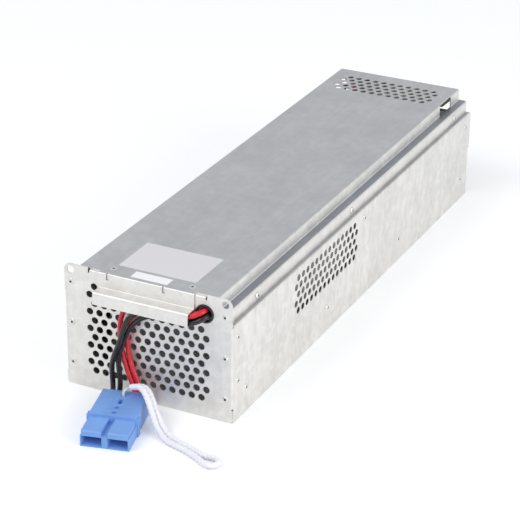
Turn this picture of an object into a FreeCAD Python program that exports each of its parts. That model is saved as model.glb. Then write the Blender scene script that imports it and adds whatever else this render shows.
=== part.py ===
"""Rack UPS battery cartridge: eight sealed batteries in a folded steel case, with a plug on leads.

Frame: origin under the middle of the case, on the surface it stands on. +Z is up, the punched
front with the finger grip faces -Y, and X runs across. Millimetres.

The case is three folded sheets. The wrap is the front plate with both side walls. The pan is the
floor. The cover is a stepped lid whose front tongue folds down over the plate and ends as the grip.
"""
import FreeCAD, Part
import math
import os
import Sketcher
from FreeCAD import Placement, Rotation, Vector

DOC = FreeCAD.newDocument("BatteryCartridge")
SHEET = DOC.addObject("Spreadsheet::Sheet", "Sizes")

# name, millimetres (or a count), what it sets
SIZES = [
    # the batteries, which set the size of the case
    ("battery_count", 8, "batteries in the row"),
    ("battery_across", 151.0, "battery, across the case"),
    ("battery_along", 65.0, "battery, along the case"),
    ("battery_up", 94.0, "battery, without its terminals"),
    ("battery_gap", 1.0, "between two batteries"),
    ("battery_lid", 14.0, "depth of a battery's lid"),
    ("battery_step", 0.4, "lid past the battery's box"),
    ("pad_gauge", 1.5, "foam pad under the batteries"),
    ("foam_up", 45.0, "top of the foam strips beside the batteries"),
    ("tab_inset", 13.5, "terminals from the battery's side"),
    ("tab_offset", 24.0, "terminals from a battery's middle"),
    ("tab_wide", 6.3, "terminal blade"),
    ("tab_gauge", 0.8, "terminal blade"),
    ("tab_up", 6.5, "terminal blade, above the battery"),
    # room round them
    ("side_space", 12.0, "battery to the outside of the case"),
    ("front_space", 59.5, "plate's face to the first battery"),
    ("rear_space", 6.5, "last battery to the walls' rear edge"),
    ("wall_over", 2.1, "walls above the batteries"),
    # the folded case
    ("sheet_gauge", 1.0, "thickness of every steel sheet"),
    ("bend_inside", 0.8, "inside radius of the case's bends"),
    ("lid_rise", 25.4, "top of the lid above the walls"),
    ("ear_rise", 1.5, "plate's ears above the lid"),
    ("ear_round", 7.0, "corner radius of the ears"),
    ("ear_hole_wide", 7.5, "captive screw hole"),
    ("ear_hole_inset", 7.0, "screw hole from the plate's side"),
    ("ear_hole_drop", 4.7, "screw hole under the lid's top"),
    ("ear_slot_inset", 27.1, "notch beside the ear, from the plate's side"),
    ("ear_slot_wide", 1.6, "width of that notch"),
    ("ear_slot_deep", 3.0, "depth of that notch"),
    ("corner_relief_up", 13.6, "height of the relief hole at a front corner"),
    ("corner_relief_wide", 2.4, "diameter of the relief hole"),
    ("corner_seam", 0.7, "open seam under the relief hole"),
    ("foot_cut", 2.0, "cut lower corners of the plate"),
    ("plate_flange", 16.0, "depth of the plate's top flange"),
    ("floor_flange", 12.0, "inturned flange under the floor"),
    ("upstand_up", 10.4, "height of the strip that the lid screws to"),
    ("rear_lug_reach", 3.5, "rear lug of a wall, past its edge"),
    ("rear_lug_long", 43.6, "length of the rear lug"),
    ("rear_lug_round", 4.0, "corner radius of the rear lug"),
    # punching
    ("hole_wide", 6.9, "punched hole"),
    ("hole_pitch", 10.15, "triangular pitch of the punching"),
    ("front_first_up", 20.0, "lowest row on the plate"),
    ("side_first_back", 140.0, "side vent, first hole behind the plate"),
    ("side_first_up", 53.5, "side vent, lowest row"),
    ("lid_vent_inset", 57.0, "lid vent, first row from the rear"),
    # lid
    ("cover_setback", 3.0, "lid's front edge behind the plate"),
    ("shoulder_drop", 12.5, "lid's shoulder under its crown"),
    ("crown_inset", 14.0, "crown's side inside the wall's"),
    ("skirt_inset", 4.5, "skirt's face inside the wall's"),
    ("lid_bend_inside", 1.2, "inside radius of the lid's bends"),
    ("side_window_inset", 59.0, "opening in the lid's right step, from the rear"),
    ("side_window_long", 33.0, "length of that opening"),
    ("rear_flap_gap", 0.6, "rear flap above the walls"),
    ("rear_flap_cut", 18.0, "cut lower corners of the rear flap"),
    # grip
    ("grip_inset", 38.0, "end of the grip from the plate's side"),
    ("grip_gap", 0.4, "tongue to plate"),
    ("grip_reach", 15.0, "lip's lower edge in front of the plate"),
    ("grip_slant", 1.2, "lip's lean"),
    ("grip_shelf_drop", 15.0, "top of the grip's shelf under the lid's"),
    ("grip_lip_drop", 27.0, "lower edge of the lip under the lid's top"),
    ("grip_bend_inside", 1.5, "inside radius of the shelf's front bend"),
    ("slot_wide", 3.0, "slot across the tongue's bend"),
    ("slot_drop", 6.5, "bottom of that slot under the lid's top"),
    ("slot_left_inset", 9.0, "left slot from the grip's left end"),
    ("slot_right_inset", 31.5, "right slot from the grip's right end"),
    # bush
    ("bush_inset", 28.0, "lead bush from the plate's right side"),
    ("bush_drop", 18.0, "lead bush under the lid's top"),
    ("bush_bore", 14.0, "bore of the lead bush"),
    ("bush_wide", 18.8, "outside of the lead bush"),
    ("bush_hole", 16.0, "its hole in the plate"),
    ("bush_lip", 1.2, "thickness of its lips"),
    # floor, rear panel, brackets
    ("pan_side_up", 32.0, "height of the pan's side flanges"),
    ("pan_end_up", 12.0, "height of the pan's end flanges"),
    ("angle_reach", 20.0, "corner angle along the wall"),
    ("angle_across", 15.0, "corner angle along the plate"),
    ("angle_low", 15.0, "bottom of a corner angle"),
    ("angle_drop", 12.0, "top of a corner angle under the lid's top"),
    ("panel_inset", 1.0, "rear panel inside the walls' rear edge"),
    ("panel_flange", 16.0, "side flanges of the rear panel"),
    ("brace_wide", 24.0, "width of the hold-down brace"),
    ("brace_drop", 17.5, "length of its end tabs"),
    ("stop_up", 18.0, "height of the angle that stops the batteries"),
    ("stop_inset", 7.5, "end of that angle from the battery's side"),
    # fasteners
    ("rivet_wide", 6.0, "rivet head"),
    ("rivet_up", 0.9, "height of a rivet head"),
    ("rivet_hollow", 2.4, "hollow in a rivet head"),
    ("rivet_inset", 7.0, "plate rivets from the plate's side"),
    ("rivet_step", 42.0, "between two plate rivets"),
    ("rivet_drop", 17.0, "top plate rivet under the lid's top"),
    ("pan_rivet_front", 27.9, "first pan rivet behind the plate"),
    ("pan_rivet_rear", 22.0, "last pan rivet from the rear"),
    ("pan_rivet_drop", 6.7, "pan rivets under the flange's edge"),
    ("wall_rivet_back", 11.0, "rivets into a corner angle, behind the plate"),
    ("wall_rivet_drop", 14.4, "top row of wall rivets under the wall's top"),
    ("wall_rivet_low", 25.4, "lower rivet of a corner angle, above its foot"),
    ("panel_rivet_inset", 12.0, "rivet of the rear panel from the rear"),
    ("brace_rivet_drop", 9.6, "rivet of the brace under the batteries' tops"),
    ("screw_wide", 7.0, "lid screw head"),
    ("screw_up", 1.5, "height of a lid screw's head"),
    ("skirt_screw_up", 5.4, "skirt screws above the walls"),
    ("skirt_screw_front", 58.9, "first skirt screw behind the plate"),
    ("skirt_screw_rear", 38.2, "last skirt screw from the rear"),
    ("skirt_screw_share", 0.46, "middle skirt screw, as a share of the length"),
    ("dimple_wide", 10.5, "sunk ring round a top screw"),
    ("dimple_deep", 0.6, "depth of that ring"),
    ("top_screw_inset", 46.5, "top screws from the plate's side"),
    ("top_screw_back", 11.6, "top screws behind the plate"),
    # labels
    ("label_gauge", 0.15, "label stock"),
    ("label_across", 81.0, "large label, across"),
    ("label_along", 55.0, "large label, along the case"),
    ("label_back", 19.5, "large label behind the plate"),
    ("tag_across", 38.0, "small label, across"),
    ("tag_along", 12.0, "small label, along the case"),
    ("tag_back", 3.6, "small label behind the plate"),
    # plug
    ("plug_across", 44.6, "rear part of the plug's housing"),
    ("plug_swell", 1.3, "swell of its sides"),
    ("plug_swell_up", 5.0, "height of that swell"),
    ("plug_up", 19.5, "height of the rear part"),
    ("plug_rear", 46.5, "length of the rear part"),
    ("plug_nose", 26.0, "length of the nose"),
    ("rib_out", 0.7, "side ribs, past the swell"),
    ("rib_long", 2.6, "each side rib, along the plug"),
    ("rib_up", 18.0, "height of the side ribs"),
    ("nose_across", 45.8, "width of the nose"),
    ("nose_up", 11.7, "height of the nose at its mouth"),
    ("block_up", 16.3, "top of the two raised blocks"),
    ("block_inset", 1.2, "outer side of a block from the nose's side"),
    ("block_notch", 3.1, "half the gap between the blocks"),
    ("mouth_wall", 1.2, "side wall of the mouth"),
    ("mouth_skin", 1.0, "floor and roof of the mouth"),
    ("mouth_deep", 23.0, "depth of the mouth"),
    ("mouth_post", 5.4, "post between the two sockets"),
    ("bore_wide", 12.4, "lead entry in the rear"),
    ("bore_across", 11.0, "lead entries from the middle"),
    ("bore_up", 10.0, "height of the lead entries"),
    ("wire_depth", 5.2, "contacts behind the rear face of the plug"),
    ("barrel_wide", 11.0, "barrel of a contact"),
    ("barrel_long", 16.0, "barrel of a contact"),
    ("blade_across", 9.0, "blade of a contact"),
    ("blade_gauge", 3.0, "blade of a contact"),
    ("blade_long", 22.0, "blade of a contact"),
    ("cord_hole_wide", 4.0, "hole for the lanyard"),
    ("cord_hole_back", 9.0, "that hole from the plug's rear"),
    ("key_slot_wide", 4.0, "slot in the top"),
    ("key_slot_long", 9.0, "slot in the top"),
    ("key_slot_back", 15.0, "slot from the plug's rear"),
    ("key_hole_wide", 4.6, "two holes in the top"),
    ("key_hole_back", 31.0, "first of them from the plug's rear"),
    ("key_hole_step", 9.0, "between them"),
    ("key_deep", 6.0, "depth of the openings in the top"),
    ("plug_right", -11.7, "plug's rear centre, across"),
    ("plug_ahead", 20.8, "plug's rear centre in front of the plate"),
    ("plug_turn", 13.7, "plug's turn, in degrees"),
    # leads and lanyard
    ("lead_wide", 5.0, "each lead over its insulation"),
    ("rope_wide", 6.0, "each strand of the lanyard"),
    ("tie_wide", 1.4, "string that ties it to the plug"),
]


class Size:
    """A length kept both as a number and as the sheet formula that gives it."""

    def __init__(self, number, formula):
        self.number = float(number)
        self.formula = formula

    def joined(self, sign, other, number):
        other = size(other)
        return Size(number(self.number, other.number), f"({self.formula} {sign} {other.formula})")

    def __add__(self, other):
        return self.joined("+", other, lambda a, b: a + b)

    def __sub__(self, other):
        return self.joined("-", other, lambda a, b: a - b)

    def __mul__(self, other):
        return self.joined("*", other, lambda a, b: a * b)

    def __truediv__(self, other):
        return self.joined("/", other, lambda a, b: a / b)

    def __rmul__(self, other):
        return size(other) * self

    def __neg__(self):
        return Size(-self.number, f"(-1 * {self.formula})")


def size(value):
    return value if isinstance(value, Size) else Size(value, repr(float(value)))


class Sheet:
    """Fills the spreadsheet and gives each of its cells as a Size."""

    def __init__(self, rows):
        for line, (name, value, note) in enumerate(rows, start=1):
            SHEET.set(f"A{line}", name)
            SHEET.set(f"B{line}", repr(value))
            SHEET.set(f"C{line}", note)
            SHEET.setAlias(f"B{line}", name)
            setattr(self, name, Size(value, f"Sizes.{name}"))
        DOC.recompute()


S = Sheet(SIZES)

# places that several pieces share
GAUGE = S.sheet_gauge
FLOOR = GAUGE * 2                              # top of the pan's floor
BATTERY_LOW = FLOOR + S.pad_gauge
BATTERY_TOP = BATTERY_LOW + S.battery_up
BATTERY_PITCH = S.battery_along + S.battery_gap
ROW_LONG = BATTERY_PITCH * (S.battery_count - 1) + S.battery_along

CASE_LONG = S.front_space + ROW_LONG + S.rear_space
FRONT = (S.grip_reach - CASE_LONG - S.rear_lug_reach) / 2       # face of the plate
BACK = FRONT + CASE_LONG                       # rear edge of the walls
MIDDLE = FRONT + CASE_LONG / 2                 # half way along the case
HALF = S.battery_across / 2 + S.side_space     # outer face of a wall
INNER = HALF - GAUGE                           # inner face of a wall
WALL_TOP = BATTERY_TOP + S.wall_over
LID_TOP = WALL_TOP + S.lid_rise
CROWN_UNDER = LID_TOP - GAUGE                  # underside of the crown
SHOULDER = LID_TOP - S.shoulder_drop           # top of the lid's shoulder
CROWN = HALF - S.crown_inset                   # side of the crown
SKIRT = HALF - S.skirt_inset                   # outer face of a skirt
LEDGE_IN = SKIRT - GAUGE                       # a skirt's inner face, on the upstand
GRIP_HALF = HALF - S.grip_inset
SHELF = LID_TOP - S.grip_shelf_drop            # top of the grip's shelf
BUSH_ACROSS = HALF - S.bush_inset
BUSH_UP = LID_TOP - S.bush_drop
BEND_OUT = S.bend_inside + GAUGE
LID_BEND_OUT = S.lid_bend_inside + GAUGE
PANEL_FRONT = BACK - S.panel_inset - GAUGE     # inner face of the rear panel
ROW = S.hole_pitch * (math.sqrt(3) / 2)        # between two rows of holes


# ---------------------------------------------------------------- small tools

def bind(thing, name, value):
    """Ties one property of an object to its formula."""
    thing.setExpression(name, size(value).formula)


def new_body(label):
    body = DOC.addObject("PartDesign::Body", label)
    body.Label = label
    return body


PLANE_SIGN = {"XY": 1, "XZ": -1, "YZ": 1}      # which way the plane's normal points along its axis


def new_sketch(body, name, plane, level):
    """A sketch parallel to one of the body's planes, at a level along the axis across it."""
    sketch = body.newObject("Sketcher::SketchObject", name)
    support = next(part for part in body.Origin.OriginFeatures if part.Role == plane + "_Plane")
    sketch.AttachmentSupport = [(support, "")]
    sketch.MapMode = "FlatFace"
    bind(sketch, "AttachmentOffset.Base.z", size(level) * PLANE_SIGN[plane])
    return sketch


def hold(sketch, kind, geometry, position, value):
    """Fixes one coordinate of a sketch point by its formula."""
    value = size(value)
    rule = Sketcher.Constraint(kind, -1, 1, geometry, position, value.number)
    index = sketch.addConstraint(rule)
    sketch.setExpression(f"Constraints[{index}]", value.formula)


def draw_outline(sketch, corners):
    """A closed outline of straight edges through the corners."""
    corners = [(size(first), size(second)) for first, second in corners]
    start = sketch.GeometryCount
    count = len(corners)
    for index in range(count):
        here, there = (Vector(a.number, b.number, 0) for a, b in
                       (corners[index], corners[(index + 1) % count]))
        sketch.addGeometry(Part.LineSegment(here, there), False)
    for index in range(count):
        following = start + (index + 1) % count
        sketch.addConstraint(Sketcher.Constraint("Coincident", start + index, 2, following, 1))
    for index, (first, second) in enumerate(corners):
        hold(sketch, "DistanceX", start + index, 1, first)
        hold(sketch, "DistanceY", start + index, 1, second)


def draw_box(sketch, left, right, low, high):
    draw_outline(sketch, [(left, low), (right, low), (right, high), (left, high)])


def draw_circle(sketch, across, up, wide):
    across, up, wide = size(across), size(up), size(wide)
    centre = Vector(across.number, up.number, 0)
    index = sketch.addGeometry(Part.Circle(centre, Vector(0, 0, 1), wide.number / 2), False)
    hold(sketch, "DistanceX", index, 3, across)
    hold(sketch, "DistanceY", index, 3, up)
    rule = sketch.addConstraint(Sketcher.Constraint("Diameter", index, wide.number))
    sketch.setExpression(f"Constraints[{rule}]", wide.formula)


def pad(body, sketch, length, toward=1, plane="XY"):
    """Material from a sketch, toward + or - along the axis across its plane."""
    feature = body.newObject("PartDesign::Pad", sketch.Name + "Pad")
    feature.Profile = sketch
    bind(feature, "Length", length)
    feature.Reversed = toward * PLANE_SIGN[plane] < 0
    return feature


def pocket(body, sketch, length):
    """A cut of this length to each side of its sketch."""
    feature = body.newObject("PartDesign::Pocket", sketch.Name + "Cut")
    feature.Profile = sketch
    feature.SideType = "Symmetric"
    bind(feature, "Length", size(length) * 2)
    return feature


def edges_at(feature, axis, places, span=None):
    """Names of the straight edges along an axis that pass the places, given across that axis."""
    DOC.recompute()
    others = [index for index in range(3) if index != "XYZ".index(axis)]
    wanted = [(size(first).number, size(second).number) for first, second in places]
    names = []
    for number, edge in enumerate(feature.Shape.Edges, start=1):
        if not isinstance(edge.Curve, (Part.Line, Part.LineSegment)):
            continue
        start, end = edge.Vertexes[0].Point, edge.Vertexes[-1].Point
        if any(abs(start[index] - end[index]) > 1e-4 for index in others):
            continue
        middle = (start["XYZ".index(axis)] + end["XYZ".index(axis)]) / 2
        if span and not size(span[0]).number < middle < size(span[1]).number:
            continue
        if any(abs(start[others[0]] - first) < 1e-3 and abs(start[others[1]] - second) < 1e-3
               for first, second in wanted):
            names.append(f"Edge{number}")
    return names


def fillet(body, radius, axis, places, span=None):
    """Rounds the edges of the body's last feature that lie at these places."""
    base = body.Tip
    feature = body.newObject("PartDesign::Fillet", "Round")
    feature.Base = (base, edges_at(base, axis, places, span))
    bind(feature, "Radius", radius)
    return feature


def chamfer(body, width, axis, places, span=None):
    base = body.Tip
    feature = body.newObject("PartDesign::Chamfer", "Bevel")
    feature.Base = (base, edges_at(base, axis, places, span))
    bind(feature, "Size", width)
    return feature


def punch(body, name, plane, level, first, columns, rows, wide, pitch, row_step):
    """A block of equal round holes: columns along the sketch's first axis, rows along its second."""
    sketch = new_sketch(body, name, plane, level)
    draw_circle(sketch, first[0], first[1], wide)
    cut = pocket(body, sketch, GAUGE * 2)
    grid = body.newObject("PartDesign::LinearPattern", name + "Grid")
    grid.Originals = [cut]
    grid.Direction = (sketch, ["H_Axis"])
    grid.Direction2 = (sketch, ["V_Axis"])
    grid.Occurrences = columns
    grid.Occurrences2 = rows
    bind(grid, "Length", pitch * (columns - 1))
    bind(grid, "Length2", row_step * (rows - 1))
    body.Tip = grid


def keep(label, shape, place=Vector(0, 0, 0), turn=0.0):
    """A sub-part whose shape is worked out here from the sheet's values."""
    thing = DOC.addObject("Part::Feature", label)
    thing.Label = label
    thing.Shape = shape
    thing.Placement = Placement(place, Rotation(Vector(0, 0, 1), turn))
    return thing


def mm(value):
    return size(value).number


# ---------------------------------------------------------------- the wrap

def chassis_wrap():
    """Front plate and side walls, folded from one sheet, with ears, flanges and punching."""
    body = new_body("chassis_wrap")
    seam_end = FRONT + GAUGE + S.corner_seam
    bend_low, bend_high = S.corner_relief_up, WALL_TOP - GAUGE * 2

    # where plate and walls are one bent sheet
    plan = new_sketch(body, "WrapPlan", "XY", bend_low)
    draw_outline(plan, [(-HALF, FRONT), (HALF, FRONT), (HALF, BACK), (INNER, BACK),
                        (INNER, FRONT + GAUGE), (-INNER, FRONT + GAUGE), (-INNER, BACK),
                        (-HALF, BACK)])
    pad(body, plan, bend_high - bend_low)
    fillet(body, BEND_OUT, "Z", [(HALF, FRONT), (-HALF, FRONT)])
    fillet(body, S.bend_inside, "Z", [(INNER, FRONT + GAUGE), (-INNER, FRONT + GAUGE)])

    # under the relief holes and over the bends' ends they are separate edges
    foot = new_sketch(body, "WrapFoot", "XY", 0)
    draw_box(foot, -HALF, HALF, FRONT, FRONT + GAUGE)
    for side in (1, -1):
        draw_box(foot, side * INNER, side * HALF, seam_end, BACK)
    pad(body, foot, bend_low)
    crest = new_sketch(body, "WrapCrest", "XY", bend_high)
    draw_box(crest, -HALF, HALF, FRONT, FRONT + GAUGE)
    for side in (1, -1):
        draw_box(crest, side * INNER, side * HALF, FRONT + S.cover_setback, BACK)
    pad(body, crest, WALL_TOP - bend_high)

    # the plate above the walls: an ear at each end and a lower middle that carries the flange
    slot_in = HALF - S.ear_slot_inset
    ear_top = LID_TOP + S.ear_rise
    notch_out = slot_in + S.ear_slot_wide
    notch_low = CROWN_UNDER - S.ear_slot_deep
    head = new_sketch(body, "PlateHead", "XZ", FRONT)
    draw_outline(head, [(-HALF, WALL_TOP - GAUGE), (HALF, WALL_TOP - GAUGE),
                        (HALF, ear_top), (notch_out, ear_top), (notch_out, notch_low),
                        (slot_in, notch_low), (slot_in, CROWN_UNDER),
                        (-slot_in, CROWN_UNDER), (-slot_in, notch_low),
                        (-notch_out, notch_low), (-notch_out, ear_top), (-HALF, ear_top)])
    pad(body, head, GAUGE, 1, "XZ")

    flange = new_sketch(body, "PlateFlange", "XY", CROWN_UNDER - GAUGE)
    draw_box(flange, -slot_in, slot_in, FRONT, FRONT + S.plate_flange)
    pad(body, flange, GAUGE)

    # each wall folds in as a ledge and up again as the strip that the lid is screwed to
    ledges = new_sketch(body, "WallLedges", "XZ", FRONT + S.cover_setback)
    upstand = LEDGE_IN - GAUGE
    strip_top = WALL_TOP + S.upstand_up
    for side in (1, -1):
        draw_outline(ledges, [(side * upstand, WALL_TOP - GAUGE), (side * HALF, WALL_TOP - GAUGE),
                              (side * HALF, WALL_TOP), (side * LEDGE_IN, WALL_TOP),
                              (side * LEDGE_IN, strip_top), (side * upstand, strip_top)])
    pad(body, ledges, CASE_LONG - S.cover_setback, 1, "XZ")

    # inturned flanges under the floor
    feet = new_sketch(body, "FloorFlanges", "XY", 0)
    reach = S.floor_flange
    draw_box(feet, -(HALF - reach - GAUGE), HALF - reach - GAUGE, FRONT, FRONT + reach)
    for side in (1, -1):
        draw_box(feet, side * (HALF - reach), side * HALF, FRONT + reach, BACK - reach)
    pad(body, feet, GAUGE)

    # a notch where each bend ends, and a round relief hole over each open seam
    ends = new_sketch(body, "BendEnd", "XZ", FRONT)
    for side in (1, -1):
        draw_box(ends, side * (HALF - S.bend_inside), side * (HALF + GAUGE),
                 bend_high - GAUGE / 2, bend_high + GAUGE / 2)
    pocket(body, ends, GAUGE)
    seam = FRONT + GAUGE + S.corner_seam / 2
    for side, name in ((1, "Right"), (-1, "Left")):
        hole = new_sketch(body, "CornerHole" + name, "YZ", side * HALF)
        draw_circle(hole, seam, S.corner_relief_up, S.corner_relief_wide)
        pocket(body, hole, GAUGE * 2)

    # bends and corners
    fillet(body, BEND_OUT, "Y", [(HALF, WALL_TOP), (-HALF, WALL_TOP)], (FRONT + 10, BACK))
    fillet(body, BEND_OUT, "X", [(FRONT, CROWN_UNDER)])
    fillet(body, S.ear_round, "Y", [(HALF, ear_top), (-HALF, ear_top)])
    chamfer(body, S.foot_cut, "Y", [(HALF, 0), (-HALF, 0)], (FRONT - GAUGE, FRONT + GAUGE))

    # a lug at the rear edge of each wall
    for side, name in ((1, "Right"), (-1, "Left")):
        lug = new_sketch(body, "RearLug" + name, "YZ", side * HALF)
        draw_box(lug, BACK - GAUGE, BACK + S.rear_lug_reach, WALL_TOP - S.rear_lug_long, WALL_TOP)
        pad(body, lug, GAUGE, -side, "YZ")
    fillet(body, S.rear_lug_round, "X", [(BACK + S.rear_lug_reach, WALL_TOP)])

    holes = new_sketch(body, "PlateHoles", "XZ", FRONT)
    ear = HALF - S.ear_hole_inset
    for side in (1, -1):
        draw_circle(holes, side * ear, LID_TOP - S.ear_hole_drop, S.ear_hole_wide)
    draw_circle(holes, BUSH_ACROSS, BUSH_UP, S.bush_hole)
    # the two holes that show beside the grip, in rows that are otherwise left blank behind it
    draw_circle(holes, S.hole_pitch * -6, S.front_first_up + ROW * 9, S.hole_wide)
    draw_circle(holes, S.hole_pitch * -5.5, S.front_first_up + ROW * 10, S.hole_wide)
    pocket(body, holes, GAUGE * 2)

    step = ROW * 2
    pitch = S.hole_pitch
    punch(body, "PlateEven", "XZ", FRONT, (pitch * -5.5, S.front_first_up), 12, 5,
          S.hole_wide, pitch, step)
    punch(body, "PlateOdd", "XZ", FRONT, (pitch * -6, S.front_first_up + ROW), 13, 4,
          S.hole_wide, pitch, step)
    start = FRONT + S.side_first_back
    punch(body, "SideOuter", "YZ", HALF, (start, S.side_first_up), 14, 3, S.hole_wide, pitch, step)
    punch(body, "SideInner", "YZ", HALF, (start - pitch / 2, S.side_first_up + ROW), 15, 2,
          S.hole_wide, pitch, step)
    return body


# ---------------------------------------------------------------- the lid with its grip

def top_cover():
    """Stepped lid. Its tongue folds down in front of the plate, out as a shelf and down as a lip."""
    body = new_body("top_cover")
    start = FRONT + S.cover_setback
    crown, skirt = CROWN, SKIRT
    shoulder_under = SHOULDER - GAUGE

    right_half = [(skirt, WALL_TOP), (skirt, SHOULDER), (crown, SHOULDER),
                  (crown, LID_TOP)]
    under_half = [(crown - GAUGE, CROWN_UNDER), (crown - GAUGE, shoulder_under),
                  (skirt - GAUGE, shoulder_under), (skirt - GAUGE, WALL_TOP)]
    mirrored = [(-across, up) for across, up in right_half + under_half]
    hat = new_sketch(body, "LidSection", "XZ", start)
    draw_outline(hat, right_half + mirrored[3::-1] + mirrored[:3:-1] + under_half)
    pad(body, hat, CASE_LONG - S.cover_setback, 1, "XZ")

    # tongue, shelf and lip, seen from the side
    outer = FRONT - S.grip_gap - GAUGE
    inner = FRONT - S.grip_gap
    lip_foot = FRONT - S.grip_reach
    lip_head = lip_foot + S.grip_slant
    lip_low = LID_TOP - S.grip_lip_drop
    overlap = start + GAUGE
    shelf_under = SHELF - GAUGE
    tongue = new_sketch(body, "GripSection", "YZ", -GRIP_HALF)
    draw_outline(tongue, [(overlap, LID_TOP), (outer, LID_TOP), (outer, SHELF),
                          (lip_head, SHELF), (lip_foot, lip_low),
                          (lip_foot + GAUGE, lip_low), (lip_head + GAUGE, shelf_under),
                          (inner, shelf_under), (inner, CROWN_UNDER), (overlap, CROWN_UNDER)])
    pad(body, tongue, GRIP_HALF * 2)

    # the rear flap, its lower corners cut away
    flap = new_sketch(body, "RearFlap", "XZ", BACK)
    side = crown - GAUGE
    flap_low = WALL_TOP + S.rear_flap_gap
    draw_outline(flap, [(-side, CROWN_UNDER), (side, CROWN_UNDER),
                        (side, flap_low + S.rear_flap_cut),
                        (side - S.rear_flap_cut, flap_low),
                        (S.rear_flap_cut - side, flap_low),
                        (-side, flap_low + S.rear_flap_cut)])
    pad(body, flap, GAUGE, -1, "XZ")

    # bends of the lid, of its tongue and of the grip
    both = (1, -1)
    fillet(body, LID_BEND_OUT, "Y",
           [(s * crown, LID_TOP) for s in both] + [(s * skirt, SHOULDER) for s in both]
           + [(s * (crown - GAUGE), shoulder_under) for s in both])
    fillet(body, S.lid_bend_inside, "Y",
           [(s * crown, SHOULDER) for s in both]
           + [(s * (skirt - GAUGE), shoulder_under) for s in both])
    fillet(body, BEND_OUT, "X", [(outer, LID_TOP), (inner, shelf_under)])
    fillet(body, S.bend_inside, "X", [(inner, CROWN_UNDER), (outer, SHELF)])
    fillet(body, S.grip_bend_inside + GAUGE, "X", [(lip_head, SHELF)])
    fillet(body, S.grip_bend_inside, "X", [(lip_head + GAUGE, shelf_under)])

    # an opening at the rear of the right-hand step, cut up through the crown's bend
    window = new_sketch(body, "StepWindow", "YZ", crown)
    begin = BACK - S.side_window_inset
    draw_box(window, begin, begin + S.side_window_long, SHOULDER, LID_TOP + GAUGE)
    pocket(body, window, S.lid_bend_inside)

    slots = new_sketch(body, "BendSlots", "XZ", outer)
    for middle in (S.slot_left_inset - GRIP_HALF, GRIP_HALF - S.slot_right_inset):
        draw_box(slots, middle - S.slot_wide / 2, middle + S.slot_wide / 2, LID_TOP - S.slot_drop,
                 LID_TOP + GAUGE)
    pocket(body, slots, GAUGE * 2 + S.grip_gap)

    for side, name in ((1, "Right"), (-1, "Left")):
        sink = body.newObject("PartDesign::SubtractiveCone", "ScrewSink" + name)
        sink.Radius1 = 1.0
        sink.Radius2 = 2.0
        sink.Height = 1.0
        bind(sink, "Radius1", S.screw_wide / 2)
        bind(sink, "Radius2", S.dimple_wide / 2)
        bind(sink, "Height", S.dimple_deep)
        sink.AttachmentSupport = [(body.Origin.OriginFeatures[3], "")]
        sink.MapMode = "FlatFace"
        bind(sink, "AttachmentOffset.Base.x", side * (HALF - S.top_screw_inset))
        bind(sink, "AttachmentOffset.Base.y", FRONT + S.top_screw_back)
        bind(sink, "AttachmentOffset.Base.z", LID_TOP - S.dimple_deep)

    pitch, step = S.hole_pitch, ROW * 2
    first = BACK - S.lid_vent_inset
    punch(body, "LidOuter", "XY", LID_TOP, (pitch * -5, first), 11, 3, S.hole_wide, pitch, step)
    punch(body, "LidInner", "XY", LID_TOP, (pitch * -5.5, first + ROW), 12, 2,
          S.hole_wide, pitch, step)
    return body


# ---------------------------------------------------------------- floor, panel, brackets

def bottom_pan():
    """Floor tray that stands on the wrap's inturned flanges."""
    body = new_body("bottom_pan")
    near, far = FRONT + GAUGE, PANEL_FRONT
    side_near, side_far = FRONT + S.angle_reach + GAUGE, far - GAUGE * 2
    tray = new_sketch(body, "PanSection", "XZ", side_near)
    wall_in = INNER - GAUGE
    draw_outline(tray, [(-INNER, GAUGE), (INNER, GAUGE), (INNER, S.pan_side_up),
                        (wall_in, S.pan_side_up), (wall_in, FLOOR), (-wall_in, FLOOR),
                        (-wall_in, S.pan_side_up), (-INNER, S.pan_side_up)])
    pad(body, tray, side_far - side_near, 1, "XZ")
    fillet(body, BEND_OUT, "Y", [(INNER, GAUGE), (-INNER, GAUGE)])
    fillet(body, S.bend_inside, "Y", [(wall_in, FLOOR), (-wall_in, FLOOR)])

    end_half = INNER - BEND_OUT
    floor = new_sketch(body, "PanFloor", "XY", GAUGE)
    draw_box(floor, -end_half, end_half, near, far)
    pad(body, floor, GAUGE)
    ends = new_sketch(body, "PanEnds", "XY", GAUGE)
    draw_box(ends, -end_half, end_half, near, near + GAUGE)
    draw_box(ends, -end_half, end_half, far - GAUGE, far)
    pad(body, ends, S.pan_end_up - GAUGE)
    return body


def rear_panel():
    """Closes the case at the rear between the pan and the walls' ledges."""
    body = new_body("rear_panel")
    top = WALL_TOP - GAUGE
    plate = new_sketch(body, "PanelPlate", "XZ", PANEL_FRONT)
    draw_box(plate, -INNER, INNER, GAUGE, top)
    pad(body, plate, GAUGE, 1, "XZ")
    flanges = new_sketch(body, "PanelFlanges", "XY", S.pan_side_up + GAUGE)
    for side in (1, -1):
        draw_box(flanges, side * (INNER - GAUGE), side * INNER, PANEL_FRONT - S.panel_flange,
                 PANEL_FRONT)
    pad(body, flanges, top - S.pan_side_up - GAUGE * 2)
    places = [(side * INNER, PANEL_FRONT + GAUGE) for side in (1, -1)]
    fillet(body, BEND_OUT, "Z", places)
    return body


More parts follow.
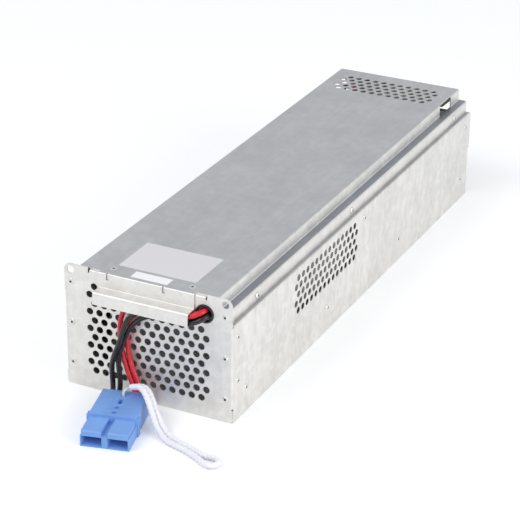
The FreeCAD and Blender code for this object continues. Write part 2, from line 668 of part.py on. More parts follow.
def corner_angle(side, label):
    """Angle inside a front corner, riveted to the plate and to the wall."""
    body = new_body(label)
    near = FRONT + GAUGE
    plate_end = INNER - S.angle_across
    foot = new_sketch(body, "AngleFoot", "XY", S.angle_low)
    draw_outline(foot, [(side * INNER, near), (side * INNER, FRONT + S.angle_reach),
                        (side * (INNER - GAUGE), FRONT + S.angle_reach),
                        (side * (INNER - GAUGE), near + GAUGE),
                        (side * plate_end, near + GAUGE), (side * plate_end, near)])
    wall_end = WALL_TOP - GAUGE * 2
    pad(body, foot, wall_end - S.angle_low)
    head = new_sketch(body, "AngleHead", "XZ", near)
    draw_box(head, side * plate_end, side * (SKIRT + GAUGE), wall_end - GAUGE,
             LID_TOP - S.angle_drop)
    pad(body, head, GAUGE, 1, "XZ")
    fillet(body, BEND_OUT, "Z", [(side * INNER, near)])
    return body


def mid_brace():
    """Flat bar over the batteries. Its ends turn down and are riveted to the walls."""
    body = new_body("mid_brace")
    section = new_sketch(body, "BraceSection", "XZ", MIDDLE - S.brace_wide / 2)
    low = BATTERY_TOP
    high = low + GAUGE
    end = INNER - GAUGE
    draw_outline(section, [(-INNER, low - S.brace_drop), (-INNER, high), (INNER, high),
                           (INNER, low - S.brace_drop), (end, low - S.brace_drop), (end, low),
                           (-end, low), (-end, low - S.brace_drop)])
    pad(body, section, S.brace_wide, 1, "XZ")
    fillet(body, BEND_OUT, "Y", [(INNER, high), (-INNER, high)])
    return body


def battery_stop():
    """Angle on the floor that keeps the row of batteries from sliding forward."""
    body = new_body("battery_stop")
    face = FRONT + S.front_space
    half = S.battery_across / 2 - S.stop_inset
    section = new_sketch(body, "StopSection", "YZ", -half)
    draw_outline(section, [(face - S.stop_up, FLOOR), (face, FLOOR), (face, FLOOR + S.stop_up),
                           (face - GAUGE, FLOOR + S.stop_up), (face - GAUGE, FLOOR + GAUGE),
                           (face - S.stop_up, FLOOR + GAUGE)])
    pad(body, section, half * 2)
    fillet(body, BEND_OUT, "X", [(face, FLOOR)])
    return body


def lead_gland():
    """Rubber bush in the plate, with a lip on each side of the sheet."""
    body = new_body("lead_gland")
    profile = new_sketch(body, "GlandProfile", "YZ", BUSH_ACROSS)
    bore, lip, hole = S.bush_bore / 2, S.bush_wide / 2, S.bush_hole / 2
    near, far = FRONT - S.bush_lip, FRONT + GAUGE + S.bush_lip
    draw_outline(profile, [(near, BUSH_UP + bore), (far, BUSH_UP + bore),
                           (far, BUSH_UP + lip), (FRONT + GAUGE, BUSH_UP + lip),
                           (FRONT + GAUGE, BUSH_UP + hole), (FRONT, BUSH_UP + hole),
                           (FRONT, BUSH_UP + lip), (near, BUSH_UP + lip)])
    spin_line = profile.addGeometry(
        Part.LineSegment(Vector(mm(near), mm(BUSH_UP), 0), Vector(mm(far), mm(BUSH_UP), 0)), True)
    for position, back in ((1, near), (2, far)):
        hold(profile, "DistanceX", spin_line, position, back)
        hold(profile, "DistanceY", spin_line, position, BUSH_UP)
    spin = body.newObject("PartDesign::Revolution", "GlandSpin")
    spin.Profile = profile
    spin.ReferenceAxis = (profile, ["Axis0"])
    spin.Angle = 360
    return body


# ---------------------------------------------------------------- batteries and what lies round them

def battery(number):
    """Sealed lead-acid battery lying across the case: a box with a slightly larger lid."""
    body = new_body(f"battery_{number}")
    half_across, half_along, inset = S.battery_across / 2, S.battery_along / 2, S.battery_step
    box = new_sketch(body, "BatteryBox", "XY", 0)
    draw_box(box, inset - half_across, half_across - inset, inset - half_along, half_along - inset)
    pad(body, box, S.battery_up - S.battery_lid)
    lid = new_sketch(body, "BatteryLid", "XY", S.battery_up - S.battery_lid)
    draw_box(lid, -half_across, half_across, -half_along, half_along)
    pad(body, lid, S.battery_lid)
    body.Placement = Placement(Vector(0, mm(battery_middle(number)), mm(BATTERY_LOW)), Rotation())
    bind(body, "Placement.Base.y", battery_middle(number))
    bind(body, "Placement.Base.z", BATTERY_LOW)
    return body


def battery_middle(number):
    return FRONT + S.front_space + S.battery_along / 2 + BATTERY_PITCH * (number - 1)


def tab_side(number):
    """The second half of the row is turned round, so its terminals are on the left."""
    return 1 if number <= mm(S.battery_count) / 2 else -1


def terminal_place(number, end):
    """Where a terminal meets its battery: end is -1 toward the plate and 1 toward the rear."""
    along = mm(battery_middle(number)) + end * mm(S.tab_offset)
    return Vector(tab_side(number) * mm(S.battery_across / 2 - S.tab_inset), along, mm(BATTERY_TOP))


def terminal_tabs():
    wide, thick, high = mm(S.tab_wide), mm(S.tab_gauge), mm(S.tab_up)
    tabs = []
    for number in range(1, int(mm(S.battery_count)) + 1):
        for end in (-1, 1):
            corner = terminal_place(number, end) - Vector(wide / 2, thick / 2, 0)
            tabs.append(Part.makeBox(wide, thick, high, corner))
    return keep("terminal_tabs", Part.makeCompound(tabs))


def jumper_links():
    """Insulated links from each battery to the next one in its half of the row."""
    high = mm(S.tab_up)
    cap = mm(S.tab_wide) + 2 * mm(S.tab_gauge)
    links = []
    count = int(mm(S.battery_count))
    for number in range(1, count):
        if tab_side(number) != tab_side(number + 1):
            continue
        start = terminal_place(number, 1) + Vector(0, 0, high)
        end = terminal_place(number + 1, -1) + Vector(0, 0, high)
        link = Part.makeCylinder(cap / 4, (end - start).Length, start + Vector(0, 0, cap / 4),
                                 end - start)
        for place in (start, end):
            link = link.fuse(Part.makeBox(cap, cap, cap / 2, place - Vector(cap / 2, cap / 2, 0)))
        links.append(link)
    return keep("jumper_links", Part.makeCompound(links))


def flat_block(label, left, right, near, far, low, high):
    """A plain block bound to the sheet: foam and labels."""
    block = DOC.addObject("Part::Box", label)
    block.Label = label
    for name, value in (("Length", right - left), ("Width", far - near), ("Height", high - low)):
        bind(block, name, value)
    for name, value in (("x", left), ("y", near), ("z", low)):
        bind(block, "Placement.Base." + name, value)
    return block


def foam():
    near = FRONT + S.front_space
    far = near + ROW_LONG
    half = S.battery_across / 2
    gap_end = INNER - GAUGE
    low = FLOOR + S.bend_inside
    return [flat_block("foam_base", -half, half, near, far, FLOOR, BATTERY_LOW),
            flat_block("foam_strip_right", half, gap_end, near, far, low, S.foam_up),
            flat_block("foam_strip_left", -gap_end, -half, near, far, low, S.foam_up)]


def labels():
    top = LID_TOP + S.label_gauge
    near = FRONT + S.label_back
    tag_near = FRONT + S.tag_back
    return [flat_block("large_label", -S.label_across / 2, S.label_across / 2, near,
                       near + S.label_along, LID_TOP, top),
            flat_block("small_label", -S.tag_across / 2, S.tag_across / 2, tag_near,
                       tag_near + S.tag_along, LID_TOP, top)]


# ---------------------------------------------------------------- fasteners

def rivet(place, outward):
    """Blind rivet head: a low dome with the hollow that the mandrel leaves."""
    radius, high, hollow = mm(S.rivet_wide) / 2, mm(S.rivet_up), mm(S.rivet_hollow) / 2
    section = [Vector(0, 0, 0), Vector(radius, 0, 0), Vector(radius * 0.55, 0, high),
               Vector(hollow, 0, high), Vector(hollow * 0.8, 0, high / 3), Vector(0, 0, high / 3)]
    head = Part.Face(Part.makePolygon(section + section[:1])).revolve(Vector(0, 0, 0), Vector(0, 0, 1))
    head.Placement = Placement(place, Rotation(Vector(0, 0, 1), outward))
    return head


def screw_head(place, outward):
    """Low pan head."""
    radius, high = mm(S.screw_wide) / 2, mm(S.screw_up)
    section = [Vector(0, 0, 0), Vector(radius, 0, 0), Vector(radius, 0, high / 3),
               Vector(radius * 0.6, 0, high), Vector(0, 0, high)]
    head = Part.Face(Part.makePolygon(section + section[:1])).revolve(Vector(0, 0, 0), Vector(0, 0, 1))
    head.Placement = Placement(place, Rotation(Vector(0, 0, 1), outward))
    return head


def fasteners():
    front, back, half = mm(FRONT), mm(BACK), mm(HALF)
    plate = [rivet(Vector(side * (half - mm(S.rivet_inset)), front, mm(LID_TOP - S.rivet_drop) - step),
                   Vector(0, -1, 0))
             for side in (1, -1) for step in (0, mm(S.rivet_step), mm(S.rivet_step) * 2)]

    # along a wall: corner angle, pan, brace and rear panel
    high = mm(WALL_TOP - S.wall_rivet_drop)
    corner = front + mm(S.wall_rivet_back)
    places = [(corner, high), (corner, mm(S.angle_low + S.wall_rivet_low))]
    first, last = front + mm(S.pan_rivet_front), back - mm(S.pan_rivet_rear)
    places += [(first + (last - first) * share / 3, mm(S.pan_side_up - S.pan_rivet_drop))
               for share in range(4)]
    places += [(mm(MIDDLE), mm(BATTERY_TOP - S.brace_rivet_drop)),
               (back - mm(S.panel_rivet_inset), high)]
    walls = [rivet(Vector(side * half, along, up), Vector(side, 0, 0))
             for side in (1, -1) for along, up in places]

    screws = (front + mm(S.skirt_screw_front), front + mm(CASE_LONG * S.skirt_screw_share),
              back - mm(S.skirt_screw_rear))
    screw_up = mm(WALL_TOP + S.skirt_screw_up)
    skirts = [screw_head(Vector(side * mm(SKIRT), along, screw_up), Vector(side, 0, 0))
              for side in (1, -1) for along in screws]
    sunk = mm(LID_TOP - S.dimple_deep)
    tops = [Part.makeCylinder(mm(S.screw_wide) / 2, mm(S.dimple_deep),
                              Vector(side * (half - mm(S.top_screw_inset)),
                                     front + mm(S.top_screw_back), sunk))
            for side in (1, -1)]
    return [keep("plate_rivets", Part.makeCompound(plate)),
            keep("wall_rivets", Part.makeCompound(walls)),
            keep("skirt_screws", Part.makeCompound(skirts)),
            keep("top_screws", Part.makeCompound(tops))]


# ---------------------------------------------------------------- plug

def place_plug(thing):
    """The plug lies on the floor in front of the plate, turned a little."""
    thing.Placement = Placement(Vector(mm(S.plug_right), mm(FRONT - S.plug_ahead), 0),
                                Rotation(Vector(0, 0, 1), mm(S.plug_turn)))
    bind(thing, "Placement.Base.x", S.plug_right)
    bind(thing, "Placement.Base.y", FRONT - S.plug_ahead)
    bind(thing, "Placement.Rotation.Angle", S.plug_turn)


def plug_housing():
    """Two-pole power plug, modelled with its rear face at Y = 0 and its mouth toward -Y."""
    body = new_body("plug_housing")
    half, swell = S.plug_across / 2, S.plug_across / 2 + S.plug_swell
    rear = new_sketch(body, "PlugRear", "XZ", 0)
    draw_outline(rear, [(-half, 0), (half, 0), (swell, S.plug_swell_up), (half, S.plug_up),
                        (-half, S.plug_up), (-swell, S.plug_swell_up)])
    pad(body, rear, S.plug_rear, -1, "XZ")
    # two ribs stand out on each side, just behind the nose
    ribs = new_sketch(body, "PlugRibs", "XY", 0)
    for side in (1, -1):
        for end in (-S.plug_rear, -S.plug_rear + S.rib_long * 1.6):
            draw_box(ribs, side * (half - GAUGE), side * (swell + S.rib_out), end, end + S.rib_long)
    pad(body, ribs, S.rib_up)
    nose_half = S.nose_across / 2
    nose = new_sketch(body, "PlugNose", "XZ", -S.plug_rear)
    draw_box(nose, -nose_half, nose_half, 0, S.nose_up)
    pad(body, nose, S.plug_nose, -1, "XZ")
    blocks = new_sketch(body, "PlugBlocks", "XZ", -S.plug_rear)
    for side in (1, -1):
        draw_box(blocks, side * S.block_notch, side * (nose_half - S.block_inset), S.nose_up, S.block_up)
    pad(body, blocks, S.plug_nose, -1, "XZ")

    mouth_face = -(S.plug_rear + S.plug_nose)
    mouth = new_sketch(body, "PlugMouth", "XZ", mouth_face)
    for side in (1, -1):
        draw_box(mouth, side * S.mouth_post / 2, side * (nose_half - S.mouth_wall), S.mouth_skin,
                 S.nose_up - S.mouth_skin)
    pocket(body, mouth, S.mouth_deep)
    entries = new_sketch(body, "LeadEntries", "XZ", 0)
    for side in (1, -1):
        draw_circle(entries, side * S.bore_across, S.bore_up, S.bore_wide)
    pocket(body, entries, S.wire_depth + S.barrel_long)
    seats = new_sketch(body, "BladeSeats", "XZ", mouth_face)
    blade = S.blade_across / 2
    seat_up = S.nose_up / 2
    for side in (1, -1):
        middle = side * S.bore_across
        draw_box(seats, middle - blade, middle + blade, seat_up - S.blade_gauge / 2,
                 seat_up + S.blade_gauge / 2)
    pocket(body, seats, S.plug_rear + S.plug_nose - S.wire_depth - S.barrel_long)

    # the row of openings down the middle of the top
    marks = new_sketch(body, "TopHoles", "XY", S.plug_up)
    draw_circle(marks, 0, -S.cord_hole_back, S.cord_hole_wide)
    draw_circle(marks, 0, -S.key_hole_back, S.key_hole_wide)
    draw_circle(marks, 0, -S.key_hole_back - S.key_hole_step, S.key_hole_wide)
    slot = S.key_slot_wide / 2
    draw_box(marks, -slot, slot, -S.key_slot_back - S.key_slot_long, -S.key_slot_back)
    pocket(body, marks, S.key_deep)

    fillet(body, 1.0, "Y", [(half, S.plug_up), (-half, S.plug_up), (nose_half, S.nose_up),
                            (-nose_half, S.nose_up)])
    chamfer(body, 1.2, "X", [(mouth_face, S.block_up)])
    place_plug(body)
    return body


def plug_contacts():
    """Barrel and blade of each pole, in the housing."""
    body_parts = []
    start = -mm(S.wire_depth)
    barrel_end = start - mm(S.barrel_long)
    blade_up = mm(S.nose_up) / 2
    for side in (1, -1):
        across = side * mm(S.bore_across)
        barrel = Part.makeCylinder(mm(S.barrel_wide) / 2, mm(S.barrel_long),
                                   Vector(across, start, mm(S.bore_up)), Vector(0, -1, 0))
        blade = Part.makeBox(mm(S.blade_across), mm(S.blade_long), mm(S.blade_gauge),
                             Vector(across - mm(S.blade_across) / 2, barrel_end - mm(S.blade_long),
                                    blade_up - mm(S.blade_gauge) / 2))
        body_parts.append(barrel.fuse(blade).removeSplitter())
    thing = keep("plug_contacts", Part.makeCompound(body_parts))
    place_plug(thing)
    return thing


# ---------------------------------------------------------------- leads and lanyard

def tube(points, wide, free=True):
    """A round cord: straight runs joined by tangent arcs, each as large as its two runs allow."""
    spots = [Vector(across, mm(FRONT) + back, up) for across, back, up in points]
    edges = []
    radii = []
    here = spots[0]
    for index in range(1, len(spots) - 1):
        corner = spots[index]
        into = corner - spots[index - 1]
        out = spots[index + 1] - corner
        turn = into.getAngle(out)
        cut = 0.45 * min(into.Length, out.Length)
        radii.append(cut / math.tan(turn / 2))
        into.normalize()
        out.normalize()
        begin, finish = corner - into * cut, corner + out * cut
        towards = (out - into).normalize()
        middle = corner + towards * (radii[-1] / math.cos(turn / 2) - radii[-1])
        edges.append(Part.LineSegment(here, begin).toShape())
        edges.append(Part.Arc(begin, middle, finish).toShape())
        here = finish
    edges.append(Part.LineSegment(here, spots[-1]).toShape())
    path = Part.Wire(edges)
    ring = Part.Wire(Part.makeCircle(wide / 2, spots[0], spots[1] - spots[0]))
    solid = path.makePipeShell([ring], True, False)
    expected = math.pi * wide ** 2 / 4 * path.Length
    if free:
        print(f"  radii {min(radii):.1f} to {max(radii):.1f} mm, length {path.Length:.0f} mm,"
              f" volume {solid.Volume / expected:.4f} of section times length")
    return solid


# points are across, behind the plate's face (so minus is in front of it) and up
LEAD_ROUTES = {
    "lead_red_1": [
        (55.9, 3.1, 108.0), (55.9, -0.5, 108.0), (54.4, -3.3, 107.4), (51.4, -4.5, 106.4),
        (46.5, -4.2, 105.1), (37.0, -4.1, 105.3), (26.0, -4.1, 105.5), (15.0, -4.2, 105.5),
        (4.5, -4.2, 105.1), (-4.0, -4.0, 103.3), (-10.4, -3.9, 96.8), (-15.0, -4.2, 87.0),
        (-18.2, -4.6, 76.8), (-19.5, -4.6, 66.6), (-18.5, -4.8, 57.6), (-16.9, -5.4, 49.0),
        (-14.3, -6.2, 40.0), (-10.6, -7.0, 31.0), (-6.4, -7.8, 22.5), (-2.8, -8.8, 15.5),
        (-0.3, -12.3, 11.2), (1.4, -17.3, 10.1), (2.7, -22.3, 10.0)],
    "lead_red_2": [
        (60.5, 3.1, 110.8), (60.5, -2.1, 110.8), (57.7, -6.8, 109.6), (53.0, -9.6, 107.4),
        (46.5, -9.7, 105.3), (37.0, -9.7, 105.3), (26.0, -9.8, 105.4), (15.0, -9.8, 105.5),
        (4.0, -9.6, 105.3), (-6.0, -9.7, 104.6), (-14.5, -9.2, 101.8), (-20.2, -8.4, 95.0),
        (-23.3, -8.0, 86.0), (-24.7, -7.7, 76.5), (-24.9, -7.3, 67.0), (-24.3, -6.9, 57.5),
        (-22.3, -6.7, 48.0), (-19.3, -7.2, 38.5), (-15.6, -8.0, 29.0), (-11.6, -8.7, 21.0),
        (-8.2, -10.2, 14.5), (-5.4, -13.9, 10.8), (-3.8, -18.7, 10.1), (-2.5, -23.5, 10.0)],
    "lead_black_1": [
        (63.4, 3.1, 106.2), (63.4, -2.4, 106.2), (60.7, -7.2, 104.8), (55.9, -10.0, 102.0),
        (48.5, -10.2, 99.0), (37.5, -10.2, 98.6), (26.0, -10.3, 98.6), (16.0, -10.3, 98.4),
        (6.5, -10.6, 97.0), (-0.8, -11.8, 93.2), (-7.5, -12.3, 86.6),
        (-13.3, -12.0, 78.8), (-17.2, -11.3, 70.0), (-20.8, -11.5, 61.0), (-23.6, -12.0, 51.5),
        (-24.6, -12.2, 41.8), (-23.6, -12.3, 32.3), (-22.6, -12.5, 23.5), (-22.5, -13.7, 16.0),
        (-21.7, -17.2, 11.0), (-20.2, -22.4, 10.1), (-18.7, -27.5, 10.0)],
    "lead_black_2": [
        (59.0, 3.1, 103.5), (59.0, 0.0, 103.5), (57.4, -2.8, 102.9), (54.6, -4.5, 101.8),
        (49.5, -4.6, 100.2), (43.0, -4.5, 99.7), (34.0, -4.4, 99.8), (25.5, -4.3, 99.9),
        (17.0, -4.2, 99.9), (8.5, -4.4, 99.7), (0.5, -6.8, 98.4), (-7.0, -11.6, 96.4),
        (-12.8, -15.3, 90.0), (-16.4, -16.7, 80.5), (-18.9, -16.8, 70.5), (-22.4, -16.9, 60.5),
        (-26.6, -16.6, 51.0), (-29.4, -15.6, 41.0), (-30.4, -14.2, 31.0), (-30.0, -13.6, 21.8),
        (-28.8, -15.6, 14.4), (-26.9, -19.4, 10.8), (-25.2, -24.0, 10.1), (-23.9, -28.7, 10.0)],
}

# a doubled rope: out along one strand, round its tip and back along the other
LANYARD_ROUTE = [
    (-2.7, -20.0, 25.6), (5.5, -20.2, 29.3), (14.0, -24.0, 27.6), (19.7, -28.4, 23.4),
    (25.7, -33.4, 17.6), (31.5, -37.7, 11.7), (38.6, -42.9, 6.7), (47.4, -48.8, 3.8),
    (54.4, -52.5, 3.0), (62.4, -55.2, 3.0), (72.5, -57.9, 3.0), (82.7, -61.9, 3.0),
    (91.3, -65.4, 3.0), (99.5, -64.6, 3.0), (106.8, -65.8, 3.0), (109.8, -68.9, 3.0),
    (110.4, -73.2, 3.0), (108.4, -77.0, 3.0), (104.5, -78.9, 3.0), (99.6, -78.0, 3.0),
    (94.3, -75.0, 3.0), (88.7, -71.4, 3.0), (80.3, -67.7, 3.0), (70.5, -63.7, 3.0),
    (60.2, -61.2, 3.0), (52.0, -58.6, 3.0), (44.1, -54.3, 4.0), (35.3, -48.1, 7.4),
    (29.0, -43.1, 13.5), (24.0, -38.8, 20.2), (17.8, -33.6, 26.0), (11.9, -29.3, 30.1),
    (3.9, -25.7, 31.4), (-3.8, -25.7, 27.9)]

# two strings from the plug's small hole to the rope's ends
TIE_ROUTES = [
    [(-10.4, -29.3, 14.6), (-10.4, -29.3, 18.6), (-11.2, -27.9, 22.9), (-10.2, -23.4, 24.2),
     (-6.7, -19.9, 23.8), (-2.7, -20.0, 25.6)],
    [(-8.8, -29.8, 14.6), (-8.8, -29.8, 18.6), (-9.6, -29.3, 23.0), (-8.1, -25.7, 25.95),
     (-3.8, -25.7, 27.9)]]

# The same leads inside the case: the free points, then the terminal that each one ends on
# (battery and end) with its last points measured from the foot of that terminal.
INNER_ROUTES = {
    "inner_lead_red": [
        ([(60.5, 3.1, 110.8), (60.5, 10.0, 110.8), (60.8, 22.0, 112.0), (61.4, 38.0, 113.6)],
         (1, -1), [(0, -14.0, 17.1), (0, -4.5, 16.5), (0, 0, 12.7), (0, 0, 6.5)]),
        ([(55.9, 3.1, 108.0), (55.9, 9.0, 108.0), (50.0, 15.0, 100.0), (40.0, 19.0, 90.0),
          (25.0, 22.0, 83.0), (8.0, 26.0, 80.0), (-6.0, 33.0, 81.0), (-16.0, 42.0, 91.5),
          (-20.5, 54.0, 101.0), (-22.0, 72.0, 102.4), (-22.0, 96.0, 102.0)],
         (8, 1), [(40.0, -33.0, 4.5), (29.0, -17.0, 9.5), (12.0, -4.0, 14.5),
                  (0, 0, 12.7), (0, 0, 6.5)])],
    "inner_lead_black": [
        ([(63.4, 3.1, 106.2), (63.4, 9.0, 106.2), (66.0, 19.0, 104.0), (68.5, 32.0, 102.4),
          (70.3, 46.0, 101.6), (70.6, 62.0, 101.5)],
         (4, 1), [(8.6, -24.0, 4.0), (7.0, -10.0, 8.5), (3.0, -2.0, 13.5),
                  (0, 0, 11.5), (0, 0, 6.5)]),
        ([(59.0, 3.1, 103.5), (59.0, 9.5, 103.5), (56.5, 20.0, 102.4), (42.0, 30.0, 104.0),
          (20.0, 38.0, 105.0), (-4.0, 46.0, 107.0), (-25.0, 58.0, 107.2), (-34.0, 74.0, 103.4),
          (-34.0, 96.0, 102.0)],
         (5, -1), [(28.0, -24.0, 4.5), (19.0, -11.0, 9.5), (7.0, -1.5, 14.5),
                   (0, 0, 12.3), (0, 0, 6.5)])],
}


def at_terminal(battery_and_end, points):
    """Points measured from the foot of a terminal, as the cords' own points."""
    foot = terminal_place(*battery_and_end) - Vector(0, mm(FRONT), 0)
    return [(foot.x + across, foot.y + back, foot.z + up) for across, back, up in points]


def cords():
    things = []
    for name, points in LEAD_ROUTES.items():
        print(name)
        things.append(keep(name, tube(points, mm(S.lead_wide))))
    print("lanyard")
    things.append(keep("lanyard", tube(LANYARD_ROUTE, mm(S.rope_wide))))
    print("lanyard_tie")
    things.append(keep("lanyard_tie", Part.makeCompound(
        [tube(points, mm(S.tie_wide)) for points in TIE_ROUTES])))
    for name, routes in INNER_ROUTES.items():
        leads = [tube(points + at_terminal(end, last), mm(S.lead_wide), free=False)
                 for points, end, last in routes]
        things.append(keep(name, Part.makeCompound(leads)))
    return things


# ---------------------------------------------------------------- build, check, write

def build():
    pieces = [chassis_wrap(), top_cover(), bottom_pan(), rear_panel(),
              corner_angle(1, "corner_angle_right"), corner_angle(-1, "corner_angle_left"),
              mid_brace(), battery_stop(), lead_gland()]
    pieces += [battery(number) for number in range(1, int(mm(S.battery_count)) + 1)]
    pieces += [terminal_tabs(), jumper_links()] + foam() + labels() + fasteners()
    pieces += [plug_housing(), plug_contacts()] + cords()
    DOC.recompute()
    return pieces


def check(pieces):
    """Stops before anything is written if an object has failed."""
    for thing in DOC.Objects:
        if any(word in thing.State for word in ("Invalid", "Error")):
            raise RuntimeError(f"{thing.Name} failed: {thing.State}")
    for piece in pieces:
        if piece.Shape.isNull() or not piece.Shape.isValid():
            raise RuntimeError(f"{piece.Label} has no valid shape")


def write(pieces):
    os.makedirs("parts", exist_ok=True)
    for piece in pieces:
        piece.Shape.exportStep(f"parts/{piece.Label}.step")


PIECES = build()
check(PIECES)
write(PIECES)
print(len(PIECES), "pieces written")
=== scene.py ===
"""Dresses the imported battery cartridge: galvanised case, leads, plug, lanyard, labels and rivets.

Metres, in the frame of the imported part: +Z up, the punched plate with its grip faces -Y.
"""
import math

import bmesh
import bpy
from mathutils import Euler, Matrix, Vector


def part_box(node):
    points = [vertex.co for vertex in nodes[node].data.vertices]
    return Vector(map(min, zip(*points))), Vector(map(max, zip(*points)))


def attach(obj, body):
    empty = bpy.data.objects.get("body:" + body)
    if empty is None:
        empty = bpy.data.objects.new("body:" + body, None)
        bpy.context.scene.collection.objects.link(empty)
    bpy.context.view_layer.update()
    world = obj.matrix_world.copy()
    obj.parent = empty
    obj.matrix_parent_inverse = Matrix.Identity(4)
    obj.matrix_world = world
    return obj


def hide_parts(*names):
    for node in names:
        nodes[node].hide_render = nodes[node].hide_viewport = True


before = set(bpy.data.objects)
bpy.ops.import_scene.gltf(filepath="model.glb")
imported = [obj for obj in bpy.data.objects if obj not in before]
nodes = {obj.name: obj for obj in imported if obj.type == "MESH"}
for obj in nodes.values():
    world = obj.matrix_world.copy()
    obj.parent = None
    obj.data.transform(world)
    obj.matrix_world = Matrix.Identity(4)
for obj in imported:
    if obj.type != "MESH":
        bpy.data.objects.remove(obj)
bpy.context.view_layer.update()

# ---------------------------------------------------------------- place of the case
# The plate's face is the plane that everything in front of the case is placed from. The grip is
# part of the lid and reaches past it, so the face is where the wrap begins.
PLATE_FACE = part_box("chassis_wrap")[0][1]


def at(across, behind, up):
    """A point from millimetres across, behind the plate's face and up."""
    return Vector((across / 1000, PLATE_FACE + behind / 1000, up / 1000))


# ---------------------------------------------------------------- camera
# It stands to the right of the case and above it, far off, with a long lens, so that the case's
# long edges close in only a little.
CAMERA_PLACE = (810.8, -1425.8, 936.3)
CAMERA_LENS = 139.35
CAMERA_TURN, CAMERA_PITCH, CAMERA_ROLL = (math.radians(angle) for angle in (26.035, 25.691, 0.582))


def add_object(name, data):
    """A new object in the scene."""
    made = bpy.data.objects.new(name, data)
    bpy.context.scene.collection.objects.link(made)
    return made


camera_data = bpy.data.cameras.new("camera")
camera_data.lens = CAMERA_LENS
camera_data.sensor_width = 36.0
camera_data.clip_end = 20.0
camera = add_object("camera", camera_data)
camera.location = at(*CAMERA_PLACE)
level = Euler((math.pi / 2 - CAMERA_PITCH, 0.0, CAMERA_TURN)).to_matrix()
camera.rotation_euler = (level @ Euler((0.0, 0.0, CAMERA_ROLL)).to_matrix()).to_euler()
bpy.context.scene.camera = camera

# ---------------------------------------------------------------- plug
# Two-pole power plug: a satin blue moulding with softened edges, open at the front for its mate
# and at the back for the four leads. It lies on the floor, turned a little.


class Finish:
    """A material, with short calls for the nodes that make it."""

    def __init__(self, name, **sockets):
        self.material = bpy.data.materials.new(name)
        self.material.use_nodes = True
        self.nodes = self.material.node_tree.nodes
        self.links = self.material.node_tree.links
        self.shader = self.nodes["Principled BSDF"]
        for socket, value in sockets.items():
            self.put(self.shader, socket, value)

    def put(self, node, socket, value):
        """Sets or links one input, named as Blender names it with spaces as underscores."""
        if isinstance(socket, str):
            socket = socket.replace("_", " ")
        target = node.inputs[socket]
        if isinstance(value, Maths):
            value = value.socket
        if isinstance(value, bpy.types.NodeSocket):
            self.links.new(value, target)
        elif isinstance(value, tuple) and len(value) == 3 and target.type == "RGBA":
            target.default_value = (*value, 1.0)
        else:
            target.default_value = value

    def node(self, kind, settings=None, **sockets):
        node = self.nodes.new(kind)
        for name, value in (settings or {}).items():
            setattr(node, name, value)
        for socket, value in sockets.items():
            index = int(socket[1:]) if socket[0] == "i" and socket[1:].isdigit() else socket
            self.put(node, index, value)
        return node

    def maths(self, socket):
        return Maths(self, socket)

    def where(self, scale=(1.0, 1.0, 1.0), turned=(0.0, 0.0, 0.0)):
        """Object coordinates, stretched and turned."""
        place = self.node("ShaderNodeTexCoord").outputs["Object"]
        mapping = self.node("ShaderNodeMapping", Vector=place, Scale=scale, Rotation=turned)
        return mapping.outputs["Vector"]

    def noise(self, place, scale, detail=3.0, roughness=0.55):
        made = self.node("ShaderNodeTexNoise", Vector=place, Scale=scale, Detail=detail,
                         Roughness=roughness)
        return self.maths(made.outputs["Fac"])

    def mix(self, factor, first, second):
        """One colour into another."""
        made = self.node("ShaderNodeMix", {"data_type": "RGBA"}, Factor=factor, i6=first, i7=second)
        return made.outputs[2]

    def bump(self, height, distance, strength):
        made = self.node("ShaderNodeBump", Height=height, Distance=distance, Strength=strength)
        return made.outputs["Normal"]

    def finish(self, **sockets):
        for socket, value in sockets.items():
            self.put(self.shader, socket, value)
        return self.material


class Maths:
    """A number socket that takes part in ordinary expressions."""

    def __init__(self, finish, socket):
        self.finish = finish
        self.socket = socket

    def apply(self, operation, *values):
        inputs = {f"i{index}": value for index, value in enumerate(values)}
        node = self.finish.node("ShaderNodeMath", {"operation": operation}, **inputs)
        return Maths(self.finish, node.outputs[0])

    def __add__(self, other):
        return self.apply("ADD", self, other)

    __radd__ = __add__

    def __sub__(self, other):
        return self.apply("SUBTRACT", self, other)

    def __rsub__(self, other):
        return self.apply("SUBTRACT", other, self)

    def __mul__(self, other):
        return self.apply("MULTIPLY", self, other)

    __rmul__ = __mul__

    def __lt__(self, other):
        return self.apply("LESS_THAN", self, other)

    def __gt__(self, other):
        return self.apply("GREATER_THAN", self, other)

    def ramp(self, low, high):
        """0 below low, 1 above high and smooth between."""
        node = self.finish.node("ShaderNodeMapRange", {"interpolation_type": "SMOOTHSTEP"},
                                Value=self, From_Min=low, From_Max=high)
        return Maths(self.finish, node.outputs["Result"])


blue = Finish("plug_blue", Roughness=0.42, IOR=1.5)
flow = blue.noise(blue.where((60.0, 60.0, 60.0)), 1.0, 3.0)
fine = blue.noise(blue.where(), 1800.0, 2.0)
blue_colour = blue.mix(flow, (0.16, 0.33, 0.72), (0.20, 0.38, 0.78))
PLUG_BLUE = blue.finish(Base_Color=blue_colour, Normal=blue.bump(fine, 0.00003, 0.6))


MERGE_WITHIN = 1e-6
FLAT_WITHIN, BEVELLED_EDGE, CRISP_EDGE = 1.0, 35, 40
PLUG_EDGE = 0.00045


